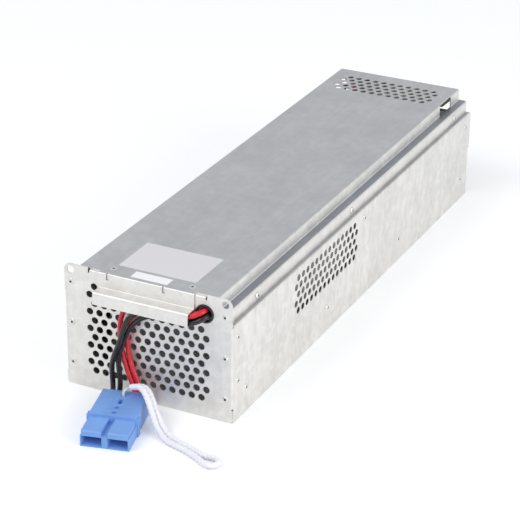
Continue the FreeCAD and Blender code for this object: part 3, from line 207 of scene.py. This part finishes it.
def softened(node_name, new_name, width, segments, material):
    """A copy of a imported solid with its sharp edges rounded, to stand for it."""
    data = nodes[node_name].data.copy()
    mesh = bmesh.new()
    mesh.from_mesh(data)
    bmesh.ops.remove_doubles(mesh, verts=mesh.verts, dist=MERGE_WITHIN)
    bmesh.ops.dissolve_limit(mesh, angle_limit=math.radians(FLAT_WITHIN), verts=mesh.verts,
                             edges=mesh.edges)
    bevelled = math.radians(BEVELLED_EDGE)
    sharp = [edge for edge in mesh.edges
             if len(edge.link_faces) == 2 and edge.calc_face_angle(0.0) > bevelled]
    bmesh.ops.bevel(mesh, geom=sharp, offset=width, offset_type="OFFSET", segments=segments,
                    profile=0.5, affect="EDGES", clamp_overlap=True)
    mesh.to_mesh(data)
    mesh.free()
    data.materials.clear()
    data.materials.append(material)
    for polygon in data.polygons:
        polygon.use_smooth = True
    data.set_sharp_from_angle(angle=math.radians(CRISP_EDGE))
    return add_object(new_name, data)


plug_shell = softened("plug_housing", "plug_shell", PLUG_EDGE, 2, PLUG_BLUE)
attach(plug_shell, "root")
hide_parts("plug_housing")

# ---------------------------------------------------------------- leads
# Four rubber-covered copper leads, two red over two black. They come out of the bush at the right
# of the plate, run left behind the grip's lip as a square bundle, turn down and end in the plug.


def rubber_cover(name, colour, worn):
    """Smooth lead insulation, dusted a little and faintly marked by handling."""
    finish = Finish(name)
    dust = finish.noise(finish.where(), 180.0, 4.0).ramp(0.45, 0.8)
    grain = finish.noise(finish.where(), 2600.0, 2.0)
    colour = finish.mix(dust * 0.35, colour, worn)
    return finish.finish(Base_Color=colour, Roughness=0.24 + 0.16 * dust,
                         Normal=finish.bump(grain, 0.00004, 0.5))


LEAD_WIDE = 0.005
RED_COVER = rubber_cover("red_lead_cover", (0.60, 0.010, 0.026), (0.66, 0.05, 0.07))
BLACK_COVER = rubber_cover("black_lead_cover", (0.010, 0.009, 0.011), (0.035, 0.032, 0.036))

LEAD_POINTS = {
    "lead_red_1": [
        (55.9, 3.1, 108.0), (55.9, -0.5, 108.0), (54.4, -3.3, 107.4), (51.4, -4.5, 106.4),
        (46.5, -4.2, 105.1), (37.0, -4.1, 105.3), (26.0, -4.1, 105.5), (15.0, -4.2, 105.5),
        (4.5, -4.2, 105.1), (-4.0, -4.0, 103.3), (-10.4, -3.9, 96.8), (-15.0, -4.2, 87.0),
        (-18.2, -4.6, 76.8), (-19.5, -4.6, 66.6), (-18.5, -4.8, 57.6), (-16.9, -5.4, 49.0),
        (-14.3, -6.2, 40.0), (-10.6, -7.0, 31.0), (-6.4, -7.8, 22.5), (-2.8, -8.8, 15.5),
        (-0.3, -12.3, 11.2), (1.4, -17.3, 10.1), (2.7, -22.3, 10.0)],
    "lead_red_2": [
        (60.5, 3.1, 110.8), (60.5, -2.1, 110.8), (57.7, -6.8, 109.6), (53.0, -9.6, 107.4),
        (46.5, -9.7, 105.3), (37.0, -9.7, 105.3), (26.0, -9.8, 105.4), (15.0, -9.8, 105.5),
        (4.0, -9.6, 105.3), (-6.0, -9.7, 104.6), (-14.5, -9.2, 101.8), (-20.2, -8.4, 95.0),
        (-23.3, -8.0, 86.0), (-24.7, -7.7, 76.5), (-24.9, -7.3, 67.0), (-24.3, -6.9, 57.5),
        (-22.3, -6.7, 48.0), (-19.3, -7.2, 38.5), (-15.6, -8.0, 29.0), (-11.6, -8.7, 21.0),
        (-8.2, -10.2, 14.5), (-5.4, -13.9, 10.8), (-3.8, -18.7, 10.1), (-2.5, -23.5, 10.0)],
    "lead_black_1": [
        (63.4, 3.1, 106.2), (63.4, -2.4, 106.2), (60.7, -7.2, 104.8), (55.9, -10.0, 102.0),
        (48.5, -10.2, 99.0), (37.5, -10.2, 98.6), (26.0, -10.3, 98.6), (16.0, -10.3, 98.4),
        (6.5, -10.6, 97.0), (-0.8, -11.8, 93.2), (-7.5, -12.3, 86.6),
        (-13.3, -12.0, 78.8), (-17.2, -11.3, 70.0), (-20.8, -11.5, 61.0), (-23.6, -12.0, 51.5),
        (-24.6, -12.2, 41.8), (-23.6, -12.3, 32.3), (-22.6, -12.5, 23.5), (-22.5, -13.7, 16.0),
        (-21.7, -17.2, 11.0), (-20.2, -22.4, 10.1), (-18.7, -27.5, 10.0)],
    "lead_black_2": [
        (59.0, 3.1, 103.5), (59.0, 0.0, 103.5), (57.4, -2.8, 102.9), (54.6, -4.5, 101.8),
        (49.5, -4.6, 100.2), (43.0, -4.5, 99.7), (34.0, -4.4, 99.8), (25.5, -4.3, 99.9),
        (17.0, -4.2, 99.9), (8.5, -4.4, 99.7), (0.5, -6.8, 98.4), (-7.0, -11.6, 96.4),
        (-12.8, -15.3, 90.0), (-16.4, -16.7, 80.5), (-18.9, -16.8, 70.5), (-22.4, -16.9, 60.5),
        (-26.6, -16.6, 51.0), (-29.4, -15.6, 41.0), (-30.4, -14.2, 31.0), (-30.0, -13.6, 21.8),
        (-28.8, -15.6, 14.4), (-26.9, -19.4, 10.8), (-25.2, -24.0, 10.1), (-23.9, -28.7, 10.0)],
}


def smooth_line(name, points):
    """A curve object whose control points are the route's points, with no thickness yet."""
    data = bpy.data.curves.new(name, "CURVE")
    data.dimensions = "3D"
    data.resolution_u = 8
    spline = data.splines.new("NURBS")
    spline.points.add(len(points) - 1)
    for point, place in zip(spline.points, points):
        point.co = (*at(*place), 1.0)
    spline.order_u = 3
    spline.use_endpoint_u = True
    return add_object(name, data)


def line_points(piece):
    """The points that a curve object's line passes, in order."""
    mesh = bpy.data.meshes.new_from_object(piece)
    places = [vertex.co.copy() for vertex in mesh.vertices]
    bpy.data.meshes.remove(mesh)
    return places


def line_length(places):
    return sum((there - here).length for here, there in zip(places, places[1:]))


def thicken(line, wide, roundness, material):
    """Gives a curve object its round section, closed at both ends."""
    line.data.bevel_depth = wide / 2
    line.data.bevel_resolution = roundness
    line.data.use_fill_caps = True
    line.data.materials.append(material)


for node_name, route in LEAD_POINTS.items():
    lead = smooth_line(node_name.replace("lead", "cover"), route)
    length = line_length(line_points(lead))
    thicken(lead, LEAD_WIDE, 5, RED_COVER if "red" in node_name else BLACK_COVER)
    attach(lead, "root")
    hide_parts(node_name)



def dress(material, *names):
    """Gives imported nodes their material."""
    for name in names:
        nodes[name].data.materials.clear()
        nodes[name].data.materials.append(material)


dress(RED_COVER, "inner_lead_red")
dress(BLACK_COVER, "inner_lead_black")

# ---------------------------------------------------------------- lanyard
# A doubled length of round white braid, for pulling the plug out. Its two ends are tied to the
# plug's small hole with string; the strands arch over the plug's side and lie on the floor.
ROPE_WIDE = 0.006
ROPE_POINTS = [
    (-2.7, -20.0, 25.6), (5.5, -20.2, 29.3), (14.0, -24.0, 27.6), (19.7, -28.4, 23.4),
    (25.7, -33.4, 17.6), (31.5, -37.7, 11.7), (38.6, -42.9, 6.7), (47.4, -48.8, 3.8),
    (54.4, -52.5, 3.0), (62.4, -55.2, 3.0), (72.5, -57.9, 3.0), (82.7, -61.9, 3.0),
    (91.3, -65.4, 3.0), (99.5, -64.6, 3.0), (106.8, -65.8, 3.0), (109.8, -68.9, 3.0),
    (110.4, -73.2, 3.0), (108.4, -77.0, 3.0), (104.5, -78.9, 3.0), (99.6, -78.0, 3.0),
    (94.3, -75.0, 3.0), (88.7, -71.4, 3.0), (80.3, -67.7, 3.0), (70.5, -63.7, 3.0),
    (60.2, -61.2, 3.0), (52.0, -58.6, 3.0), (44.1, -54.3, 4.0), (35.3, -48.1, 7.4),
    (29.0, -43.1, 13.5), (24.0, -38.8, 20.2), (17.8, -33.6, 26.0), (11.9, -29.3, 30.1),
    (3.9, -25.7, 31.4), (-3.8, -25.7, 27.9)]


def evenly(places, step):
    """Points a fixed distance apart along a line of points, with the last one kept."""
    picked = [places[0]]
    carried = 0.0
    for here, there in zip(places, places[1:]):
        run = (there - here).length
        while carried + run >= step:
            share = (step - carried) / run
            here = here.lerp(there, share)
            picked.append(here)
            run = (there - here).length
            carried = 0.0
        carried += run
    if (picked[-1] - places[-1]).length > step / 2:
        picked.append(places[-1])
    return picked


def braid_relief(around, along, carriers, lay):
    """Height, 0 to 1, of a plain braid: two sets of strands that wind opposite ways and weave."""
    first = carriers * around + along / lay
    second = carriers * around - along / lay
    one, other = first % 1.0, second % 1.0
    one_on_top = (math.floor(first) + math.floor(second)) % 2 == 0
    across, lengthwise = (one, other) if one_on_top else (other, one)
    return math.sin(math.pi * across) ** 0.6 * (0.55 + 0.45 * math.sin(math.pi * lengthwise))


rope_line = smooth_line("lanyard_line", ROPE_POINTS)
ROPE_STEP = 0.00046
rope_places = evenly(line_points(rope_line), ROPE_STEP)
bpy.data.objects.remove(rope_line)
ROPE_SIDES = 40
ROPE_CARRIERS = 4
ROPE_LAY = 0.0046
ROPE_RELIEF = 0.00062
rope_mesh = bmesh.new()
rings = []
side = Vector((1.0, 0.0, 0.0))
gone = 0.0
for index, place in enumerate(rope_places):
    before = rope_places[max(index - 1, 0)]
    after = rope_places[min(index + 1, len(rope_places) - 1)]
    ahead = (after - before).normalized()
    side = (side - ahead * side.dot(ahead)).normalized()
    up = ahead.cross(side)
    ring = []
    for step in range(ROPE_SIDES):
        share = step / ROPE_SIDES
        relief = braid_relief(share, gone, ROPE_CARRIERS, ROPE_LAY)
        radius = ROPE_WIDE / 2 - ROPE_RELIEF * (1.0 - relief)
        angle = 2 * math.pi * share
        way_out = math.cos(angle) * side + math.sin(angle) * up
        ring.append(rope_mesh.verts.new(place + radius * way_out))
    rings.append(ring)
    gone += (after - place).length
for near, far in zip(rings, rings[1:]):
    for step in range(ROPE_SIDES):
        following = (step + 1) % ROPE_SIDES
        rope_mesh.faces.new((near[step], near[following], far[following], far[step]))
rope_mesh.faces.new(list(reversed(rings[0])))
rope_mesh.faces.new(rings[-1])
bmesh.ops.recalc_face_normals(rope_mesh, faces=rope_mesh.faces)
rope_data = bpy.data.meshes.new("lanyard_braid")
rope_mesh.to_mesh(rope_data)
rope_mesh.free()
for polygon in rope_data.polygons:
    polygon.use_smooth = True
rope = add_object("lanyard_braid", rope_data)

braid = Finish("white_braid", Roughness=0.85, Sheen_Weight=0.3)
soiling = braid.noise(braid.where(), 90.0, 4.0).ramp(0.5, 0.85)
fibre = braid.noise(braid.where(), 5200.0, 2.0)
braid_colour = braid.mix(soiling * 0.5, (0.88, 0.87, 0.93), (0.74, 0.73, 0.79))
rope_data.materials.append(braid.finish(Base_Color=braid_colour,
                                        Normal=braid.bump(fibre, 0.00008, 0.6)))
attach(rope, "root")
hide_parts("lanyard")

STRING_WIDE = 0.0014
TIE_POINTS = [
    [(-10.4, -29.3, 14.6), (-10.4, -29.3, 18.6), (-11.2, -27.9, 22.9), (-10.2, -23.4, 24.2),
     (-6.7, -19.9, 23.8), (-2.7, -20.0, 25.6)],
    [(-8.8, -29.8, 14.6), (-8.8, -29.8, 18.6), (-9.6, -29.3, 23.0), (-8.1, -25.7, 25.95),
     (-3.8, -25.7, 27.9)]]
string = Finish("white_string", Roughness=0.8)
twist = string.maths(string.node("ShaderNodeTexWave", {"bands_direction": "DIAGONAL"},
                                 Vector=string.where(), Scale=900.0).outputs["Fac"])
string_colour = string.mix(twist, (0.72, 0.71, 0.76), (0.90, 0.89, 0.94))
STRING = string.finish(Base_Color=string_colour, Normal=string.bump(twist, 0.0001, 0.7))
for number, route in enumerate(TIE_POINTS, start=1):
    tie = smooth_line(f"lanyard_string_{number}", route)
    thicken(tie, STRING_WIDE, 4, STRING)
    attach(tie, "root")
    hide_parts("lanyard_tie")
line_length(rope_places)

# ---------------------------------------------------------------- folded sheets
# Hot-dip galvanised steel, 1 mm thick. The mill leaves a fine grain along the sheet, the zinc
# freezes in faint flakes, and handling leaves dull patches and small scratches.
SHEET = 0.001
LID_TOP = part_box("top_cover")[1][2]
SHOULDER = LID_TOP - 0.0125
WALL_TOP = LID_TOP - 0.0254
STEEL_ROUGHNESS, STEEL_METAL, STEEL_IOR = 0.36, 0.75, 1.6


def galvanised(name, colour, shade, grain_scale, painted_shade_strips=()):
    """Zinc finish. Each band of painted shade is a height and a colour that darkens the faces looking
    up at that height.
    """
    finish = Finish(name, Metallic=STEEL_METAL, IOR=STEEL_IOR)
    place = finish.where()
    flakes = finish.node("ShaderNodeTexVoronoi", {"feature": "SMOOTH_F1"}, Vector=place, Scale=150.0,
                         Smoothness=0.4)
    flake = finish.maths(finish.node("ShaderNodeSeparateColor",
                                     Color=flakes.outputs["Color"]).outputs["Red"])
    cloud = finish.noise(place, 22.0, 6.0, 0.62)
    rub = finish.noise(finish.where(grain_scale), 1.0, 5.0, 0.7)
    streak = finish.noise(finish.where(tuple(value * 5 for value in grain_scale)), 1.0, 3.0)
    tone = 0.30 * flake + 0.9 * cloud + 0.75 * rub + 0.45 * streak - 0.70
    body = finish.mix(tone.ramp(0.05, 0.95), shade, colour)
    scratch = finish.noise(finish.where((260.0, 260.0, 30.0), (0.3, 0.5, 0.2)), 1.0, 2.0)
    body = finish.mix(scratch.ramp(0.70, 0.78) * 0.35, body, (0.92, 0.91, 0.89))
    if painted_shade_strips:
        parts = finish.node("ShaderNodeSeparateXYZ", Vector=place)
        height = finish.maths(parts.outputs["Z"])
        facing = finish.node("ShaderNodeNewGeometry").outputs["Normal"]
        upward = finish.maths(finish.node("ShaderNodeSeparateXYZ", Vector=facing).outputs["Z"])
        # Painted shade: faces that look up within a sheet's thickness of each height are multiplied
        # by its colour.
        for shade_height, shade_tint in painted_shade_strips:
            inside = (upward.ramp(0.75, 0.95) * (height > shade_height - SHEET)
                      * (height < shade_height + SHEET))
            body = finish.node("ShaderNodeMix", {"data_type": "RGBA", "blend_type": "MULTIPLY"},
                               Factor=inside, i6=body, i7=shade_tint).outputs[2]
    rough = STEEL_ROUGHNESS + 0.08 * flake + 0.16 * rub
    relief = 0.6 * streak + 0.4 * finish.noise(place, 900.0, 2.0)
    return finish.finish(Base_Color=body, Roughness=rough,
                         Normal=finish.bump(relief, 0.000025, 0.4))


# Painted shade: the up-facing top ledge of the wrap's walls, under the lid's skirt, is darkened
# bluish-grey.
WRAP_STEEL = galvanised("galvanised_wrap", (0.84, 0.825, 0.80), (0.66, 0.645, 0.62),
                        (34.0, 60.0, 9.0),
                        painted_shade_strips=[(WALL_TOP, (0.60, 0.61, 0.64))])
# Painted shade: the lid's up-facing flat top is darkened a little and its shoulder deeply, both
# bluish.
LID_STEEL = galvanised("galvanised_lid", (0.84, 0.825, 0.80), (0.70, 0.685, 0.66),
                       (60.0, 5.0, 60.0),
                       painted_shade_strips=[(LID_TOP, (0.72, 0.735, 0.77)),
                               (SHOULDER, (0.42, 0.44, 0.50))])
INNER_STEEL = galvanised("galvanised_inside", (0.62, 0.615, 0.60), (0.50, 0.495, 0.485),
                         (20.0, 20.0, 20.0))
dress(WRAP_STEEL, "chassis_wrap")
dress(LID_STEEL, "top_cover")
dress(INNER_STEEL, "bottom_pan", "rear_panel", "corner_angle_left", "corner_angle_right",
      "mid_brace", "battery_stop")

# ---------------------------------------------------------------- bush for the leads
# Moulded black rubber with a rounded lip on each side of the plate. The lips snap over the
# edge of the hole; the leads fill most of its bore.
bush_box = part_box("lead_gland")
BUSH_MIDDLE = (Vector(bush_box[0]) + Vector(bush_box[1])) / 2
BUSH_FRONT, BUSH_REAR = bush_box[0][1], bush_box[1][1]
BUSH_BORE, BUSH_HOLE, BUSH_LIP = 0.007, 0.008, (bush_box[1][2] - bush_box[0][2]) / 2
PLATE_BACK = PLATE_FACE + SHEET


def lip_curve(outer_end, sheet_side, tip_radius, steps=7):
    """Points (radius, along) of a rounded lip, from the bore out to the sheet."""
    depth = sheet_side - outer_end
    points = []
    for step in range(steps + 1):
        angle = math.pi * step / steps
        middle = (BUSH_BORE + tip_radius) / 2
        half = (tip_radius - BUSH_BORE) / 2
        points.append((middle - half * math.cos(angle), sheet_side - depth * math.sin(angle) ** 0.7))
    return points


bush_profile = [(BUSH_BORE, PLATE_FACE)] + lip_curve(BUSH_FRONT, PLATE_FACE, BUSH_LIP)[1:]
bush_profile += [(BUSH_HOLE, PLATE_FACE), (BUSH_HOLE, PLATE_BACK)]
bush_profile += list(reversed(lip_curve(BUSH_REAR, PLATE_BACK, BUSH_LIP)[1:]))
bush_profile += [(BUSH_BORE, PLATE_BACK)]
BUSH_SIDES = 64
bush_mesh = bmesh.new()
bush_rings = []
for step in range(BUSH_SIDES):
    angle = 2 * math.pi * step / BUSH_SIDES
    bush_rings.append([bush_mesh.verts.new((BUSH_MIDDLE.x + radius * math.cos(angle), along,
                                            BUSH_MIDDLE.z + radius * math.sin(angle)))
                       for radius, along in bush_profile])
for step in range(BUSH_SIDES):
    near, far = bush_rings[step], bush_rings[(step + 1) % BUSH_SIDES]
    for index in range(len(bush_profile)):
        following = (index + 1) % len(bush_profile)
        bush_mesh.faces.new((near[index], near[following], far[following], far[index]))
bmesh.ops.recalc_face_normals(bush_mesh, faces=bush_mesh.faces)
bush_data = bpy.data.meshes.new("lead_bush")
bush_mesh.to_mesh(bush_data)
bush_mesh.free()
for polygon in bush_data.polygons:
    polygon.use_smooth = True
bush_data.set_sharp_from_angle(angle=math.radians(50))
bush_piece = add_object("lead_bush", bush_data)
bush = Finish("bush_rubber")
bloom = bush.noise(bush.where(), 260.0, 3.0).ramp(0.4, 0.9)
bush_colour = bush.mix(bloom, (0.010, 0.010, 0.011), (0.035, 0.034, 0.036))
bush_data.materials.append(bush.finish(Base_Color=bush_colour, Roughness=0.28 + 0.2 * bloom))
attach(bush_piece, "root")
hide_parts("lead_gland")

# ---------------------------------------------------------------- rivets and screws
# Zinc-plated blind rivets, whose hollow where the mandrel broke off is painted near-black as shade,
# and screws with a cross drive, low on the lid and higher on its skirt; the cross is a flat mark
# painted dark as shade. Each is set square to the sheet that it holds.
zinc = Finish("zinc_plate", Metallic=0.85)
tarnish = zinc.noise(zinc.where(), 700.0, 3.0).ramp(0.35, 0.75)
zinc_colour = zinc.mix(tarnish, (0.80, 0.80, 0.79), (0.56, 0.55, 0.53))
ZINC = zinc.finish(Base_Color=zinc_colour, Roughness=0.30 + 0.2 * tarnish)
# Painted shade: a near-black colour, mottled a little, for the rivets' hollows and the screws'
# crosses.
well = Finish("rivet_well_shade", Metallic=0.4, Roughness=0.6)
well_mottle = well.noise(well.where(), 1500.0, 2.0)
WELL_SHADE = well.finish(Base_Color=well.mix(well_mottle, (0.02, 0.02, 0.02), (0.07, 0.068, 0.065)))


class Tree:
    """A geometry node tree with named inputs, built call by call."""

    def __init__(self, name, **inputs):
        self.group = bpy.data.node_groups.new(name, "GeometryNodeTree")
        self.group.is_modifier = True
        face = self.group.interface
        face.new_socket("Geometry", in_out="INPUT", socket_type="NodeSocketGeometry")
        for label, value in inputs.items():
            kind = "NodeSocketInt" if isinstance(value, int) else "NodeSocketFloat"
            face.new_socket(label.replace("_", " "), in_out="INPUT", socket_type=kind)
        face.new_socket("Geometry", in_out="OUTPUT", socket_type="NodeSocketGeometry")
        self.values = {label.replace("_", " "): value for label, value in inputs.items()}
        self.start = self.group.nodes.new("NodeGroupInput")
        self.end = self.group.nodes.new("NodeGroupOutput")

    def given(self, label):
        return self.start.outputs[label]

    def add(self, kind, settings=None, **sockets):
        node = self.group.nodes.new(kind)
        for name, value in (settings or {}).items():
            setattr(node, name, value)
        for label, value in sockets.items():
            self.put(node.inputs[label.replace("_", " ")], value)
        return node

    def put(self, target, value):
        """Sets or links one input."""
        if isinstance(value, bpy.types.NodeSocket):
            self.group.links.new(value, target)
        else:
            target.default_value = value

    def times(self, first, second):
        node = self.add("ShaderNodeMath", {"operation": "MULTIPLY"})
        for target, value in zip(node.inputs, (first, second)):
            self.put(target, value)
        return node.outputs[0]

    def raised(self, geometry, height):
        """The geometry moved along Z."""
        offset = self.add("ShaderNodeCombineXYZ", Z=height).outputs[0]
        return self.add("GeometryNodeTransform", Geometry=geometry, Translation=offset).outputs[0]

    def joined(self, *parts):
        node = self.group.nodes.new("GeometryNodeJoinGeometry")
        for part in parts:
            self.group.links.new(part, node.inputs[0])
        return node.outputs[0]

    def painted(self, geometry, material):
        return self.add("GeometryNodeSetMaterial", Geometry=geometry, Material=material).outputs[0]

    def set_on_places(self, head):
        """Ends the tree: the head on every point, turned to look along its outward direction."""
        outward = self.add("GeometryNodeInputNamedAttribute", {"data_type": "FLOAT_VECTOR"},
                           Name="outward").outputs["Attribute"]
        turned = self.add("FunctionNodeAlignRotationToVector", {"axis": "Z"},
                          Vector=outward).outputs[0]
        placed = self.add("GeometryNodeInstanceOnPoints", Points=self.given("Geometry"),
                          Instance=head, Rotation=turned).outputs[0]
        plain = self.add("GeometryNodeRealizeInstances", Geometry=placed).outputs[0]
        self.group.links.new(plain, self.end.inputs[0])

    def plain_mesh(self, name, places):
        """One mesh of the heads on these (place, outward) pairs."""
        seeds = bpy.data.meshes.new(name + "_places")
        seeds.from_pydata([tuple(place) for place, outward in places], [], [])
        directions = seeds.attributes.new("outward", "FLOAT_VECTOR", "POINT")
        for item, (place, outward) in zip(directions.data, places):
            item.vector = outward
        holder = add_object(name + "_places", seeds)
        modifier = holder.modifiers.new("heads", "NODES")
        modifier.node_group = self.group
        for item in self.group.interface.items_tree:
            if item.in_out == "INPUT" and item.name in self.values:
                modifier[item.identifier] = self.values[item.name]
        graph = bpy.context.evaluated_depsgraph_get()
        data = bpy.data.meshes.new_from_object(holder.evaluated_get(graph), depsgraph=graph)
        data.name = name
        bpy.data.objects.remove(holder)
        return add_object(name, data)


def cone(tree, wide_end, narrow_end, depth, sides):
    """The sloping side of a frustum whose wide end lies on the sheet."""
    return tree.add("GeometryNodeMeshCone", {"fill_type": "NONE"}, Vertices=sides,
                    Radius_Bottom=wide_end, Radius_Top=narrow_end, Depth=depth).outputs["Mesh"]


def rivet_tree():
    tree = Tree("blind_rivet", Head_Radius=0.003, Head_Height=0.0009, Hollow_Radius=0.0012, Sides=28)
    radius, high = tree.given("Head Radius"), tree.given("Head Height")
    hollow, sides = tree.given("Hollow Radius"), tree.given("Sides")
    skirt = cone(tree, radius, tree.times(radius, 0.86), tree.times(high, 0.55), sides)
    brow = tree.raised(cone(tree, tree.times(radius, 0.86), tree.times(radius, 0.56),
                            tree.times(high, 0.40), sides), tree.times(high, 0.55))
    rim = tree.raised(cone(tree, tree.times(radius, 0.56), hollow, tree.times(high, 0.05), sides),
                      tree.times(high, 0.95))
    ring = tree.painted(tree.joined(skirt, brow, rim), ZINC)
    # The hollow's side and floor carry the painted near-black shade.
    side = tree.add("GeometryNodeFlipFaces",
                    Mesh=tree.raised(cone(tree, tree.times(hollow, 0.85), hollow,
                                          tree.times(high, 0.75), sides),
                                     tree.times(high, 0.25))).outputs[0]
    floor_disc = tree.raised(tree.add("GeometryNodeMeshCircle", {"fill_type": "NGON"}, Vertices=sides,
                                      Radius=tree.times(hollow, 0.85)).outputs["Mesh"],
                             tree.times(high, 0.25))
    inside = tree.painted(tree.joined(side, floor_disc), WELL_SHADE)
    tree.set_on_places(tree.joined(ring, inside))
    return tree


def screw_tree(head_height):
    tree = Tree("lid_screw", Head_Radius=0.0035, Head_Height=head_height, Recess=0.0016, Sides=32)
    radius, high = tree.given("Head Radius"), tree.given("Head Height")
    sides = tree.given("Sides")
    skirt = cone(tree, radius, radius, tree.times(high, 0.4), sides)
    brow = tree.raised(cone(tree, radius, tree.times(radius, 0.82), tree.times(high, 0.4), sides),
                       tree.times(high, 0.4))
    crown = tree.raised(tree.add("GeometryNodeMeshCone", {"fill_type": "NGON"}, Vertices=sides,
                                 Radius_Bottom=tree.times(radius, 0.82),
                                 Radius_Top=tree.times(radius, 0.5),
                                 Depth=tree.times(high, 0.2)).outputs["Mesh"], tree.times(high, 0.8))
    steel_head = tree.painted(tree.joined(skirt, brow, crown), ZINC)
    # The cross is not cut into the head: two thin bars lie on top, painted near-black as shade.
    bars = []
    for across, along in ((2.0, 0.5), (0.5, 2.0)):
        size = tree.add("ShaderNodeCombineXYZ", X=tree.times(tree.given("Recess"), across),
                        Y=tree.times(tree.given("Recess"), along), Z=0.00006).outputs[0]
        bars.append(tree.raised(tree.add("GeometryNodeMeshCube", Size=size).outputs["Mesh"], high))
    recess_shade = tree.painted(tree.joined(*bars), WELL_SHADE)
    tree.set_on_places(tree.joined(steel_head, recess_shade))
    return tree


def places_on(node_name, axis, sign):
    """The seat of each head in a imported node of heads. A sign of 0 means away from the middle."""
    mesh = bmesh.new()
    mesh.from_mesh(nodes[node_name].data)
    bmesh.ops.remove_doubles(mesh, verts=mesh.verts, dist=MERGE_WITHIN)
    waiting = set(mesh.verts)
    seats = []
    while waiting:
        group, edge = [], [waiting.pop()]
        while edge:
            vertex = edge.pop()
            group.append(vertex.co.copy())
            for link in vertex.link_edges:
                other = link.other_vert(vertex)
                if other in waiting:
                    waiting.remove(other)
                    edge.append(other)
        low = [min(place[index] for place in group) for index in range(3)]
        high = [max(place[index] for place in group) for index in range(3)]
        seats.append([(first + second) / 2 for first, second in zip(low, high)] + [low, high])
    mesh.free()
    found = []
    for x, y, z, low, high in seats:
        way = sign if sign else (1 if x > 0 else -1)
        place = [x, y, z]
        place[axis] = low[axis] if way > 0 else high[axis]
        outward = [0.0, 0.0, 0.0]
        outward[axis] = float(way)
        found.append((tuple(place), tuple(outward)))
    return found


for tree, name, node_name, axis, sign in (
        (rivet_tree(), "plate_blind_rivets", "plate_rivets", 1, -1),
        (rivet_tree(), "wall_blind_rivets", "wall_rivets", 0, 0),
        (screw_tree(0.0015), "skirt_pan_screws", "skirt_screws", 0, 0),
        (screw_tree(0.0006), "lid_flush_screws", "top_screws", 2, 1)):
    heads = tree.plain_mesh(name, places_on(node_name, axis, sign))
    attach(heads, "root")
    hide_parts(node_name)

# ---------------------------------------------------------------- batteries
# Sealed lead-acid blocks in grey moulded plastic, on a foam pad, with insulated links and
# tinned tabs.
case_plastic = Finish("battery_plastic", Roughness=0.5)
orange_peel = case_plastic.noise(case_plastic.where(), 1500.0, 2.0)
scuff = case_plastic.noise(case_plastic.where((40.0, 40.0, 8.0)), 1.0, 4.0).ramp(0.45, 0.8)
case_colour = case_plastic.mix(scuff * 0.5, (0.40, 0.395, 0.385), (0.52, 0.515, 0.505))
BATTERY_PLASTIC = case_plastic.finish(Base_Color=case_colour, Roughness=0.45 + 0.15 * scuff,
                                      Normal=case_plastic.bump(orange_peel, 0.00003, 0.5))
dress(BATTERY_PLASTIC, *(name for name in nodes if name.startswith("battery_")
                         and name != "battery_stop"))
foam = Finish("black_foam", Roughness=0.95)
cells = foam.noise(foam.where(), 1100.0, 3.0)
foam_colour = foam.mix(cells, (0.03, 0.03, 0.032), (0.09, 0.09, 0.092))
FOAM = foam.finish(Base_Color=foam_colour, Normal=foam.bump(cells, 0.0003, 0.8))
dress(FOAM, "foam_base", "foam_strip_left", "foam_strip_right")
dress(BLACK_COVER, "jumper_links")
tinned = Finish("tinned_brass", Metallic=1.0)
tin = tinned.noise(tinned.where(), 800.0, 2.0)
tin_colour = tinned.mix(tin, (0.74, 0.71, 0.60), (0.80, 0.79, 0.74))
TINNED = tinned.finish(Base_Color=tin_colour, Roughness=0.28 + 0.15 * tin)
dress(TINNED, "terminal_tabs", "plug_contacts")

# ---------------------------------------------------------------- labels
# Two blank adhesive labels near the front of the lid. The large one is silver-grey film.
film = Finish("label_film", Roughness=0.5)
speckle = film.noise(film.where(), 700.0, 3.0)
film_colour = film.mix(speckle, (0.655, 0.635, 0.65), (0.70, 0.68, 0.69))
dress(film.finish(Base_Color=film_colour), "large_label")
paper = Finish("label_paper", Roughness=0.6)
pulp = paper.noise(paper.where(), 900.0, 3.0)
paper_colour = paper.mix(pulp, (0.84, 0.84, 0.85), (0.90, 0.90, 0.90))
dress(paper.finish(Base_Color=paper_colour), "small_label")

# ---------------------------------------------------------------- floor and light
# A white floor, a large soft lamp above and to the left, one low on the right, and an even sky.
# To the camera and in reflections the floor is whiter than it is as a source of bounced light.
floor_finish = Finish("white_floor", Roughness=0.9)
path = floor_finish.node("ShaderNodeLightPath")
seen = (floor_finish.maths(path.outputs["Is Camera Ray"])
        + floor_finish.maths(path.outputs["Is Glossy Ray"]))
floor_finish.finish(Base_Color=floor_finish.mix(seen, (0.84, 0.84, 0.84), (1.0, 1.0, 1.0)),
                    Emission_Color=(1.0, 1.0, 1.0), Emission_Strength=seen * 0.10)
FLOOR_HALF, FLOOR_GAP = 6.0, 0.0002
floor_data = bpy.data.meshes.new("floor")
floor_data.from_pydata([(-FLOOR_HALF, -FLOOR_HALF, 0), (FLOOR_HALF, -FLOOR_HALF, 0),
                        (FLOOR_HALF, FLOOR_HALF, 0), (-FLOOR_HALF, FLOOR_HALF, 0)],
                       [], [(0, 1, 2, 3)])
floor_data.materials.append(floor_finish.finish())
floor = add_object("floor", floor_data)
floor.location.z = -FLOOR_GAP

world = bpy.data.worlds.new("studio")
bpy.context.scene.world = world
world.use_nodes = True
sky = world.node_tree.nodes["Background"]
sky.inputs["Color"].default_value = (0.93, 0.96, 1.0, 1.0)
sky.inputs["Strength"].default_value = 0.75


def soft_lamp(name, place, aim, width, power, shade_tint):
    data = bpy.data.lights.new(name, "AREA")
    data.size = width
    data.energy = power
    data.color = shade_tint
    lamp = add_object(name, data)
    lamp.location = place
    lamp.rotation_euler = (Vector(place) - Vector(aim)).to_track_quat("Z", "Y").to_euler()


soft_lamp("key", (-0.9, -1.4, 1.9), (0.0, 0.0, 0.05), 1.2, 16.0, (1.0, 0.99, 0.97))
soft_lamp("right_fill", (2.2, -0.6, 0.9), (0.0, 0.0, 0.05), 1.4, 22.0, (1.0, 0.98, 0.95))

bpy.context.scene.view_settings.view_transform = "Standard"
